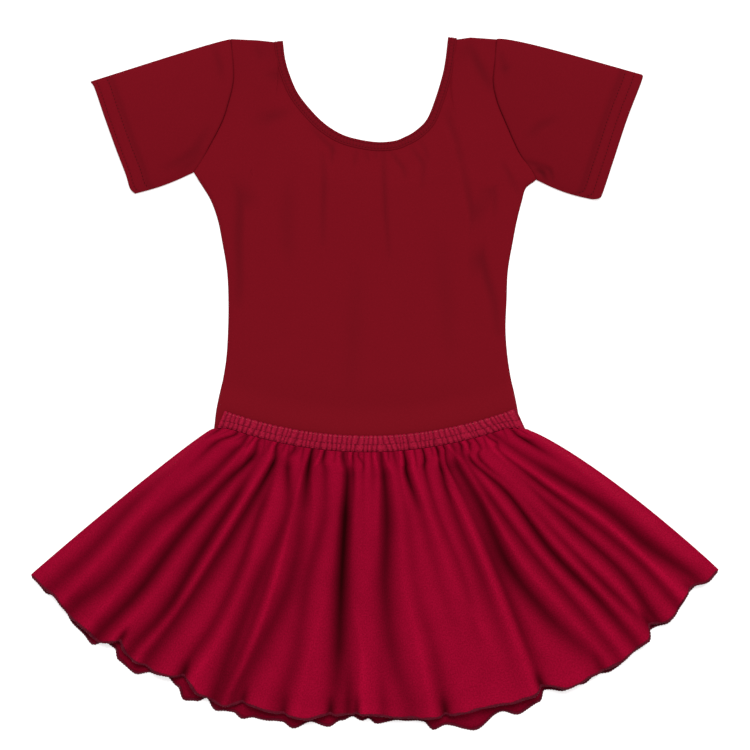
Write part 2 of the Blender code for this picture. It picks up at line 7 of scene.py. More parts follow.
import json
import logging
import math
from dataclasses import dataclass, field
from enum import Enum

import bpy
import numpy as np
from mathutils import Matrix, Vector
from mathutils.bvhtree import BVHTree

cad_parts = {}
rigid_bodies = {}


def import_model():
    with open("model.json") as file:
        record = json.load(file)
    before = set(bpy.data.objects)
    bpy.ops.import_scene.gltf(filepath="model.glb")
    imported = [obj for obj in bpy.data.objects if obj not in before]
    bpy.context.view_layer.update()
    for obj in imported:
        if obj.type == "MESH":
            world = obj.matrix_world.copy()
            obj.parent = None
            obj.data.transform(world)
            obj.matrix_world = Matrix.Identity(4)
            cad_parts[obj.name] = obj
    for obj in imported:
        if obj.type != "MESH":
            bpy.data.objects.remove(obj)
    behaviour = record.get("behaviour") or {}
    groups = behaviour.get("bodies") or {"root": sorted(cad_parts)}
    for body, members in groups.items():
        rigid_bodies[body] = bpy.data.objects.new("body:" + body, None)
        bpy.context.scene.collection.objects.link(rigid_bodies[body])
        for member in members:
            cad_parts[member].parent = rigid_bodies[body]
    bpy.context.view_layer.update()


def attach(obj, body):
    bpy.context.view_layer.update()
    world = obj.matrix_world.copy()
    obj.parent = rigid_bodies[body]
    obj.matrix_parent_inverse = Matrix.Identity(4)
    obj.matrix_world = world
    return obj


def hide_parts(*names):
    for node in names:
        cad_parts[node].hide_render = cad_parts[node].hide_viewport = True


for leftover in list(bpy.data.objects):
    bpy.data.objects.remove(leftover, do_unlink=True)
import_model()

LOG = logging.getLogger("leotard")
MM = 0.001
BODY = "root"
# The solids' cloth and the gap between their pieces, which say how high each layer lies.
WALL = 1.2
SEAM_GAP = 0.3
# The cloth made here is a little thinner than the solids'. The front's lies this far above their lower
# faces, and the back's this far above what is under it.
CLOTH = 0.9
CASING_CLOTH = 1.0
CLOTH_LIFT = 0.3
FLOOR_LIFT = 0.05
# Random knots of the soft noise, and points between two given points of a smooth line.
NOISE_KNOTS = 4096
CURVE_STEPS = 16

Colour = tuple[float, float, float, float]
Table = tuple[tuple[float, ...], ...]


def ease(value: np.ndarray | float) -> np.ndarray:
    """Smooth step from 0 to 1."""
    share = np.clip(value, 0.0, 1.0)
    return share * share * (3 - 2 * share)


def read_table(rows: Table, place: np.ndarray | float) -> np.ndarray:
    """Value of a two-column table at some places, eased between its rows.

    Args:
        rows: (place, value) pairs in rising order of place.
        place: where to read it.

    Returns:
        The values, in the shape of place.
    """
    places = np.array([row[0] for row in rows])
    values = np.array([row[1] for row in rows])
    above = np.clip(np.searchsorted(places, place, side="right"), 1, len(rows) - 1)
    share = (place - places[above - 1]) / (places[above] - places[above - 1])
    return values[above - 1] + (values[above] - values[above - 1]) * ease(share)


def smooth_line(points: Table, count: int) -> np.ndarray:
    """Evenly spaced points of the smooth curve through some points.

    Args:
        points: the points it passes through.
        count: how many points to return.

    Returns:
        An array of count points.
    """
    knots = np.array(points, dtype=float)
    knots = np.vstack([2 * knots[0] - knots[1], knots, 2 * knots[-1] - knots[-2]])
    share = np.linspace(0, 1, CURVE_STEPS, endpoint=False)[:, None]
    runs = []
    for before, start, stop, after in zip(knots, knots[1:], knots[2:], knots[3:]):
        slope_in, slope_out = (stop - before) / 2, (after - start) / 2
        bend = 3 * (stop - start) - 2 * slope_in - slope_out
        twist = 2 * (start - stop) + slope_in + slope_out
        runs.append(start + share * (slope_in + share * (bend + share * twist)))
    dense = np.vstack(runs + [knots[-2][None]])
    return along_line(dense, np.linspace(0, 1, count))


def along_line(line: np.ndarray, share: np.ndarray | float) -> np.ndarray:
    """Points at some shares of the length of a line of points.

    Args:
        line: the line's points.
        share: 0 at its start, 1 at its end.

    Returns:
        A point for each share.
    """
    steps = np.linalg.norm(np.diff(line, axis=0), axis=1)
    lengths = np.concatenate([[0.0], np.cumsum(steps)])
    wanted = np.clip(share, 0, 1) * lengths[-1]
    columns = [np.interp(wanted, lengths, line[:, axis]) for axis in range(line.shape[1])]
    return np.stack(columns, axis=-1)


def moved_out(line: np.ndarray, outward: float) -> np.ndarray:
    """A plan line moved to its right-hand side by a distance.

    Args:
        line: the line's points.
        outward: the distance.

    Returns:
        The moved points.
    """
    run = np.gradient(line, axis=0)
    run /= np.linalg.norm(run, axis=1, keepdims=True)
    return line + outward * np.stack([run[:, 1], -run[:, 0]], axis=-1)


def soft_noise(place: np.ndarray, period: float, seed: int) -> np.ndarray:
    """Smooth noise from -1 to 1 along a line.

    Args:
        place: where to read it.
        period: distance between its random knots, in the unit of place.
        seed: picks the random knots.

    Returns:
        The noise, in the shape of place.
    """
    knots = np.random.default_rng(seed).uniform(-1, 1, NOISE_KNOTS)
    cell = np.floor(place / period).astype(int)
    share = ease(place / period - cell)
    return knots[cell % NOISE_KNOTS] * (1 - share) + knots[(cell + 1) % NOISE_KNOTS] * share


@dataclass(frozen=True)
class Wander:
    """One kind of soft noise: how much it wanders, how long its waves are and which knots it has."""

    amount: float
    period: float
    seed: int

    def at(self, place: np.ndarray) -> np.ndarray:
        """The noise at some places, from minus to plus its amount."""
        return self.amount * soft_noise(place, self.period, self.seed)


class Crease:
    """A soft trough or ridge pressed into cloth along a run of plan points."""

    # Where in a half wave of fading the crease begins, and how blunt the fading is.
    END = 0.08
    BLUNTNESS = 0.7

    def __init__(self, depth: float, width: float, *points: tuple[float, float]) -> None:
        """Keep what the crease is.

        Args:
            depth: how deep it is, or below 0 for a ridge.
            width: its half width.
            *points: the plan points it runs through.
        """
        self.depth = depth
        self.width = width
        self.points = np.array(points, dtype=float)

    def press(self, x: np.ndarray, y: np.ndarray) -> np.ndarray:
        """How far the crease presses the cloth down at some plan places.

        Args:
            x: places across.
            y: places along.

        Returns:
            Depths in millimetres, in the shape of x.
        """
        spot = np.stack([x, y], axis=-1)
        nearest = np.full(x.shape, np.inf)
        fade = np.zeros(x.shape)
        count = len(self.points) - 1
        for number, (start, stop) in enumerate(zip(self.points, self.points[1:])):
            run = stop - start
            share = np.clip(((spot - start) @ run) / (run @ run), 0, 1)
            away = np.linalg.norm(spot - start - share[..., None] * run, axis=-1)
            whole = self.END + (1 - 2 * self.END) * (number + share) / count
            fade = np.where(away < nearest, np.sin(np.pi * np.clip(whole, 0, 1)), fade)
            nearest = np.minimum(nearest, away)
        return self.depth * fade ** self.BLUNTNESS * np.exp(-(nearest / self.width) ** 2)


def press_all(creases: tuple[Crease, ...], x: np.ndarray, y: np.ndarray) -> np.ndarray:
    """Depth of several creases together.

    Args:
        creases: the creases.
        x: places across.
        y: places along.

    Returns:
        Depths in millimetres, in the shape of x.
    """
    total = np.zeros(x.shape)
    for crease in creases:
        total = total + crease.press(x, y)
    return total


class Side(Enum):
    """A side of the garment, by the wearer."""

    RIGHT = -1
    LEFT = 1


class Face(Enum):
    """Front or back of the garment."""

    FRONT = "front"
    BACK = "back"


class Growth(Enum):
    """Which way a surface gets its thickness, by its normals."""

    OUTWARD = 1
    INWARD = -1


def deselect_all() -> None:
    """Leave nothing selected, in object mode."""
    if bpy.context.object and bpy.context.object.mode != "OBJECT":
        bpy.ops.object.mode_set(mode="OBJECT")
    bpy.ops.object.select_all(action="DESELECT")


def pick(piece: bpy.types.Object) -> None:
    """Make one piece the only one selected, and active.

    Args:
        piece: the piece.
    """
    deselect_all()
    piece.select_set(True)
    bpy.context.view_layer.objects.active = piece


def lay_grid(name: str, places: np.ndarray, chart: np.ndarray, crease: np.ndarray) -> bpy.types.Object:
    """Add a grid and lay each of its points in its place.

    Args:
        name: the piece's name.
        places: points in millimetres, by row and column.
        chart: cloth coordinates in metres, by row and column, for the weave.
        crease: painted shade at each point, 0 to 1, kept as the mesh's crease attribute.

    Returns:
        The new piece, an open surface.
    """
    rows, columns = places.shape[:2]
    deselect_all()
    bpy.ops.mesh.primitive_grid_add(x_subdivisions=columns - 1, y_subdivisions=rows - 1, size=2)
    piece = bpy.context.object
    piece.name = name
    mesh = piece.data
    mesh.name = name
    flat = np.empty(len(mesh.vertices) * 3)
    mesh.vertices.foreach_get("co", flat)
    flat = flat.reshape(-1, 3)
    column = np.rint((flat[:, 0] + 1) / 2 * (columns - 1)).astype(int)
    row = np.rint((flat[:, 1] + 1) / 2 * (rows - 1)).astype(int)
    mesh.vertices.foreach_set("co", (places[row, column] * MM).ravel())
    # The painted shade goes on as the crease attribute, which the knit shader mixes towards its painted shade
    # colour.
    depth = mesh.attributes.new("crease", "FLOAT", "POINT")
    depth.data.foreach_set("value", crease[row, column].astype(np.float32))
    corners = np.empty(len(mesh.loops), dtype=int)
    mesh.loops.foreach_get("vertex_index", corners)
    layer = mesh.uv_layers.active or mesh.uv_layers.new()
    layer.name = "weave"
    layer.data.foreach_set("uv", chart[row, column][corners].astype(np.float32).ravel())
    mesh.update()
    return piece


def grow_wall(piece: bpy.types.Object, growth: Growth, wall: float = CLOTH) -> None:
    """Give a surface its thickness.

    Args:
        piece: the open or closed surface.
        growth: the side it grows to.
        wall: the thickness.
    """
    pick(piece)
    solid = piece.modifiers.new("wall", "SOLIDIFY")
    solid.thickness = wall * MM
    solid.offset = growth.value
    solid.use_quality_normals = True
    bpy.ops.object.modifier_apply(modifier=solid.name)


def close_seams(piece: bpy.types.Object) -> None:
    """Join points that lie on each other and turn the faces outwards.

    Args:
        piece: a grid rolled into a tube or a ring.
    """
    pick(piece)
    bpy.ops.object.mode_set(mode="EDIT")
    bpy.ops.mesh.select_all(action="SELECT")
    bpy.ops.mesh.remove_doubles(threshold=1e-6)
    bpy.ops.mesh.normals_make_consistent(inside=False)
    bpy.ops.object.mode_set(mode="OBJECT")


def finish_piece(piece: bpy.types.Object, material: bpy.types.Material, slot: str, *nodes: str) -> None:
    """Shade, dress and fasten a piece.

    Args:
        piece: the finished mesh.
        material: its finish.
        slot: the record's material slot it belongs to; not used.
        *nodes: the frame's nodes it stands for.
    """
    pick(piece)
    bpy.ops.object.shade_smooth()
    piece.data.materials.clear()
    piece.data.materials.append(material)
    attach(piece, BODY)
    if nodes:
        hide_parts(*nodes)
    LOG.info("%s: %d faces", piece.name, len(piece.data.polygons))


def set_inputs(tree: bpy.types.NodeTree, node: bpy.types.Node, inputs: dict) -> None:
    """Fill a node's inputs.

    Args:
        tree: the tree the node is in.
        node: the node.
        inputs: by input name, a value or the output socket that leads there.
    """
    for label, value in inputs.items():
        if isinstance(value, bpy.types.NodeSocket):
            tree.links.new(value, node.inputs[label])
        else:
            node.inputs[label].default_value = value


def add_node(tree: bpy.types.NodeTree, kind: str, inputs: dict, **settings: object) -> bpy.types.Node:
    """Add a node.

    Args:
        tree: the tree to add it to.
        kind: Blender's name for the kind of node.
        inputs: by input name, a value or the output socket that leads there.
        **settings: properties to set before the inputs.

    Returns:
        The node.
    """
    node = tree.nodes.new(kind)
    for key, value in settings.items():
        setattr(node, key, value)
    set_inputs(tree, node, inputs)
    return node


class ShaderGroups:
    """The effects that several finishes share, each built once."""

    # Scale of the cloth's loops and of the thread's twist, for coordinates in metres.
    WALES = 900.0
    TWISTS = 1400.0

    def __init__(self) -> None:
        """Build every group."""
        self.knit = self._knit()
        self.thread = self._thread()

    @staticmethod
    def _open(name: str, inputs: dict[str, float], colours: tuple[str, ...]) -> tuple:
        """Start a group that gives a colour and a height.

        Args:
            name: the group's name.
            inputs: number sockets with their usual values.
            colours: names of colour sockets.

        Returns:
            The group's tree, the sockets it is given, and its output node.
        """
        tree = bpy.data.node_groups.new(name, "ShaderNodeTree")
        for label in colours:
            tree.interface.new_socket(name=label, in_out="INPUT", socket_type="NodeSocketColor")
        for label, value in inputs.items():
            socket = tree.interface.new_socket(name=label, in_out="INPUT", socket_type="NodeSocketFloat")
            socket.default_value = value
        for label, kind in (("Colour", "NodeSocketColor"), ("Height", "NodeSocketFloat")):
            tree.interface.new_socket(name=label, in_out="OUTPUT", socket_type=kind)
        return tree, tree.nodes.new("NodeGroupInput").outputs, tree.nodes.new("NodeGroupOutput")

    @staticmethod
    def _bands(tree: bpy.types.NodeTree, way: str, inputs: dict) -> bpy.types.NodeSocket:
        """Bands of light and dark that run one way."""
        node = add_node(tree, "ShaderNodeTexWave", inputs, wave_type="BANDS", bands_direction=way)
        return node.outputs["Fac"]

    @staticmethod
    def _noise(tree: bpy.types.NodeTree, inputs: dict) -> bpy.types.NodeSocket:
        """Cloudy noise."""
        return add_node(tree, "ShaderNodeTexNoise", inputs).outputs["Fac"]

    @staticmethod
    def _math(tree: bpy.types.NodeTree, operation: str, first: bpy.types.NodeSocket,
             second: bpy.types.NodeSocket, clamp: bool = False) -> bpy.types.NodeSocket:
        """Two numbers added or multiplied."""
        inputs = {0: first, 1: second}
        return add_node(tree, "ShaderNodeMath", inputs, operation=operation, use_clamp=clamp).outputs["Value"]

    @staticmethod
    def _blend(tree: bpy.types.NodeTree, kind: str, factor: object, first: bpy.types.NodeSocket,
               second: bpy.types.NodeSocket) -> bpy.types.NodeSocket:
        """Two colours or numbers blended."""
        inputs = {"Factor": factor, "A": first, "B": second}
        return add_node(tree, "ShaderNodeMix", inputs, data_type=kind).outputs["Result"]

    def _knit(self) -> bpy.types.NodeTree:
        """Jersey: fine ribs of loops, a soft melange, and painted shade: darker cloth down in the creases.

        Returns:
            The group.
        """
        tree, given, result = self._open(
            "knit_surface", {"Wale": self.WALES, "Melange": 0.1, "Depth": 1.0}, ("Light", "Dark", "Painted Shade"))
        chart = add_node(tree, "ShaderNodeUVMap", {}, uv_map="weave").outputs["UV"]
        crease = add_node(tree, "ShaderNodeAttribute", {}, attribute_name="crease").outputs["Fac"]
        loop = add_node(tree, "ShaderNodeVectorMath", {0: chart, "Scale": given["Wale"]},
                        operation="SCALE").outputs["Vector"]
        wales = self._bands(tree, "X", {"Vector": loop, "Scale": 1.0, "Distortion": 1.2, "Detail": 1.0})
        courses = self._bands(tree, "Y", {"Vector": loop, "Scale": 1.3, "Distortion": 1.5})
        fibres = self._noise(tree, {"Vector": loop, "Scale": 0.9, "Detail": 3.0})
        clouds = self._noise(tree, {"Vector": chart, "Scale": 60.0, "Detail": 4.0})
        loops = self._math(tree, "MULTIPLY", wales, courses)
        height = self._math(tree, "ADD", loops, fibres)
        speckle = self._blend(tree, "FLOAT", 0.15, fibres, clouds)
        spread = add_node(tree, "ShaderNodeMapRange",
                          {"Value": speckle, "From Min": 0.38, "From Max": 0.62}).outputs["Result"]
        amount = self._math(tree, "MULTIPLY", spread, given["Melange"])
        tone = self._blend(tree, "RGBA", amount, given["Light"], given["Dark"])
        # Painted shade: the crease attribute, scaled, mixes the cloth towards the deep colour.
        painted_shade = self._math(tree, "MULTIPLY", crease, given["Depth"], clamp=True)
        shaded = self._blend(tree, "RGBA", painted_shade, tone, given["Painted Shade"])
        set_inputs(tree, result, {"Colour": shaded, "Height": height})
        return tree

    def _thread(self) -> bpy.types.NodeTree:
        """Sewing thread: twisted plies seen as fine bands, on object coordinates.

        Returns:
            The group.
        """
        tree, given, result = self._open("thread_surface", {"Twist": self.TWISTS}, ("Light", "Dark"))
        place = tree.nodes.new("ShaderNodeTexCoord").outputs["Object"]
        twist = self._bands(tree, "DIAGONAL", {"Vector": place, "Scale": given["Twist"]})
        fuzz = self._noise(tree, {"Vector": place, "Scale": 420.0})
        tone = self._blend(tree, "RGBA", fuzz, given["Light"], given["Dark"])
        set_inputs(tree, result, {"Colour": tone, "Height": twist})
        return tree


def srgb(red: int, green: int, blue: int) -> Colour:
    """A screen colour as the linear one that shaders take.

    Args:
        red: 0 to 255.
        green: 0 to 255.
        blue: 0 to 255.

    Returns:
        Red, green, blue and full alpha, 0 to 1.
    """
    levels = [level / 255 for level in (red, green, blue)]
    linear = [level / 12.92 if level < 0.04045 else ((level + 0.055) / 1.055) ** 2.4 for level in levels]
    return (*linear, 1.0)


@dataclass(frozen=True)
class Finish:
    """What cloth and thread share: two colours, mixed by one of the shared groups."""

    name: str
    slot: str
    light: Colour
    dark: Colour

    def dressed(self, group: bpy.types.NodeTree, given: dict, relief: dict,
                shader: dict) -> bpy.types.Material:
        """Build a material round a shared group.

        Args:
            group: the shared group.
            given: the group's inputs, besides the two colours.
            relief: the bump's strength and distance.
            shader: inputs of the main shader.

        Returns:
            The material.
        """
        material = bpy.data.materials.new(self.name)
        material.use_nodes = True
        tree = material.node_tree
        given = {"Light": self.light, "Dark": self.dark, **given}
        surface = add_node(tree, "ShaderNodeGroup", given, node_tree=group).outputs
        bump = add_node(tree, "ShaderNodeBump", {"Height": surface["Height"], **relief}).outputs["Normal"]
        set_inputs(tree, tree.nodes["Principled BSDF"],
                   {"Base Color": surface["Colour"], "Normal": bump, **shader})
        return material


@dataclass(frozen=True)
class KnitFinish(Finish):
    """A jersey finish."""

    # deep is the painted shade colour, mixed in where the crease attribute says, and depth how strongly.
    deep: Colour
    melange: float
    depth: float
    roughness: float
    sheen: float
    bump: float

    def material(self, groups: ShaderGroups) -> bpy.types.Material:
        """Build the finish as a material.

        Args:
            groups: the shared effects.

        Returns:
            The material.
        """
        return self.dressed(
            groups.knit, {"Painted Shade": self.deep, "Melange": self.melange, "Depth": self.depth},
            {"Strength": self.bump, "Distance": 0.0002},
            {"Roughness": self.roughness, "Specular IOR Level": 0.03, "Sheen Weight": self.sheen,
             "Sheen Roughness": 0.45, "Sheen Tint": self.light})


@dataclass(frozen=True)
class ThreadFinish(Finish):
    """A sewing thread finish."""

    def material(self, groups: ShaderGroups) -> bpy.types.Material:
        """Build the finish as a material.

        Args:
            groups: the shared effects.

        Returns:
            The material.
        """
        return self.dressed(groups.thread, {}, {"Strength": 0.4, "Distance": 0.0001},
                            {"Roughness": 0.6, "Specular IOR Level": 0.06})


# Each knit finish's third colour is its painted shade, and the number after the melange its strength.
BURGUNDY = KnitFinish("burgundy_jersey", "burgundy_knit", srgb(123, 15, 28), srgb(113, 13, 25),
                      srgb(82, 12, 20), 0.5, 0.8, 0.9, 0.05, 0.12)
RASPBERRY = KnitFinish("raspberry_jersey", "raspberry_knit", srgb(173, 8, 51), srgb(145, 4, 39),
                       srgb(44, 1, 4), 1.0, 1.05, 0.9, 0.05, 0.3)
CASING = KnitFinish("raspberry_casing", "raspberry_casing", srgb(174, 27, 58), srgb(140, 14, 42),
                    srgb(70, 3, 18), 0.9, 1.0, 0.9, 0.1, 0.25)
# This thread matches the cloth, but is given a darker colour as painted shade of the stitches pressed into
# it.
BURGUNDY_THREAD = ThreadFinish("burgundy_thread", "burgundy_knit", srgb(82, 9, 17), srgb(56, 5, 10))
RASPBERRY_THREAD = ThreadFinish("raspberry_thread", "raspberry_casing", srgb(108, 10, 32), srgb(66, 3, 18))
PALE_THREAD = ThreadFinish("casing_edge_thread", "raspberry_casing", srgb(204, 96, 100), srgb(150, 44, 58))
HEM_THREAD = ThreadFinish("hem_overlock_thread", "raspberry_knit", srgb(108, 15, 38), srgb(68, 6, 22))


@dataclass
class LeotardPattern:
    """Outline of the leotard's two panels, and how high they lie."""

    waist_low_y: float = -53.9
    waist_centre_x: float = -6.0
    waist_curve: float = 0.0016
    waist_end_reach: float = 104.0
    waist_end_length: float = 18.0
    waist_end_power: float = 1.5
    band_height: float = 12.0
    crotch_y: float = -226.0
    chest_y: float = 140.0
    binding_width: float = 7.0
    back_lift: Table = ((-24, 0.0), (-3, 2.4), (15, 2.4), (34, 1.5))
    # Side edges from shoulder to crotch: height, wearer's right edge, wearer's left edge.
    sides: Table = (
        (265, -111.0, 93.3), (246, -109.3, 92.2), (231, -109.3, 91.1), (216, -112.8, 94.2),
        (200, -118.1, 100.7), (178, -129.6, 110.5), (167, -136.0, 117.9), (161.7, -139.7, 121.6),
        (156, -136.0, 124.2), (150, -132.2, 116.3), (140, -126.3, 113.2), (125, -121.0, 109.4),
        (109, -117.8, 106.3), (86, -114.0, 102.4), (63, -112.9, 101.4), (40, -113.2, 100.6),
        (17, -114.7, 102.4), (-6, -118.6, 106.3), (-22, -121.7, 109.3), (-37, -123.5, 111.5),
        (-60, -127.0, 116.0), (-84, -130.0, 119.0), (-104, -112.0, 101.0), (-136, -84.0, 73.0),
        (-172, -56.0, 45.0), (-205, -39.0, 28.0), (-226, -34.0, 23.0),
    )
    neck_edge: Table = (
        (-71.0, 262.6), (-69.3, 249.5), (-65.8, 237.2), (-59.5, 222.8), (-48.5, 208.7),
        (-37.7, 198.4), (-25.6, 191.0), (-12.7, 187.1), (2.0, 185.0), (14.6, 185.9), (22.3, 188.7),
        (31.0, 193.6), (39.9, 202.5), (46.0, 217.1), (51.6, 235.2), (54.2, 248.0), (56.2, 264.6),
    )
    shoulder_right: Table = ((-111.0, 264.4), (-90.3, 263.4))
    shoulder_left: Table = ((73.6, 265.6), (93.3, 264.2))
    # Heights of the underarms' points, wearer's right and left.
    underarms: tuple[float, float] = (161.7, 156.0)
    # Points of the smoothed lines: neck edge, and side edge below and above the underarm.
    neck_points: int = 400
    low_edge_points: int = 240
    high_edge_points: int = 120
    # Columns and rows of a panel's grid.
    neck_columns: int = 118
    shoulder_columns: int = 20
    body_rows: int = 170
    yoke_rows: int = 70
    edges: dict[Side, np.ndarray] = field(default_factory=dict)

    def __post_init__(self) -> None:
        """Smooth both side edges, in one run below and one above each underarm's point."""
        rows = np.array(self.sides)[::-1]
        for column, side in enumerate((Side.RIGHT, Side.LEFT), 1):
            edge = rows[:, [0, column]]
            below = edge[edge[:, 0] <= self.underarm_y(side)]
            above = edge[edge[:, 0] >= self.underarm_y(side)]
            self.edges[side] = np.vstack([smooth_line(below, self.low_edge_points),
                                          smooth_line(above, self.high_edge_points)[1:]])

    def underarm_y(self, side: Side) -> float:
        """Height on the plan of an underarm's point."""
        return self.underarms[0 if side is Side.RIGHT else 1]

    def shoulder_y(self, side: Side) -> float:
        """Height on the plan of a shoulder's outer end."""
        return self.shoulder_right[0][1] if side is Side.RIGHT else self.shoulder_left[-1][1]

    def edge_x(self, y: np.ndarray, side: Side) -> np.ndarray:
        """Side edge of a panel at some heights on the plan."""
        return np.interp(y, self.edges[side][:, 0], self.edges[side][:, 1])

    def waist_y(self, x: np.ndarray, end_drop: float) -> np.ndarray:
        """Seam between casing and skirt, which drops at both ends.

        Args:
            x: places across.
            end_drop: how far it drops there.

        Returns:
            Its height on the plan.
        """
        reach = np.abs(x - self.waist_centre_x)
        beyond = np.maximum(0, reach - self.waist_end_reach) / self.waist_end_length
        return self.waist_low_y + self.waist_curve * reach ** 2 - end_drop * beyond ** self.waist_end_power

    def band_top_y(self, x: np.ndarray) -> np.ndarray:
        """Upper edge of the casing."""
        rise = self.waist_curve * (x - self.waist_centre_x) ** 2
        return self.waist_low_y + SEAM_GAP + self.band_height + rise

    def back_height(self, x: np.ndarray, y: np.ndarray) -> np.ndarray:
        """Lower face of the leotard back: on the surface, then over the casing and the skirt."""
        return read_table(self.back_lift, self.band_top_y(x) - y)

    def neck_line(self, outward: float, count: int) -> np.ndarray:
        """The neck's free edge moved outward by a distance."""
        return moved_out(smooth_line(self.neck_edge, count), outward)

    def panel_plan(self, tuck: float) -> tuple[np.ndarray, np.ndarray, np.ndarray]:
        """Plan points of a panel in a fine grid.

        Args:
            tuck: how far the neck edge reaches in under the binding.

        Returns:
            x and y by row and column, and each column's share across.
        """
        neck = self.neck_line(self.binding_width - tuck, self.neck_points)
        even = along_line(neck, np.linspace(0, 1, self.neck_columns))
        right = np.linspace(self.shoulder_right[0], self.shoulder_right[1], self.shoulder_columns)
        left = np.linspace(self.shoulder_left[0], self.shoulder_left[1], self.shoulder_columns)
        top = np.vstack([right, even, left])
        edge_right = self.edge_x(top[:, 1], Side.RIGHT)
        edge_left = self.edge_x(top[:, 1], Side.LEFT)
        shares = (top[:, 0] - edge_right) / (edge_left - edge_right)
        body_y = np.linspace(self.crotch_y, self.chest_y, self.body_rows)
        yoke = np.linspace(0, 1, self.yoke_rows)[1:]
        y = np.vstack([np.repeat(body_y[:, None], len(top), axis=1),
                       self.chest_y + yoke[:, None] * (top[None, :, 1] - self.chest_y)])
        edge_right, edge_left = self.edge_x(y, Side.RIGHT), self.edge_x(y, Side.LEFT)
        return edge_right + shares[None] * (edge_left - edge_right), y, shares


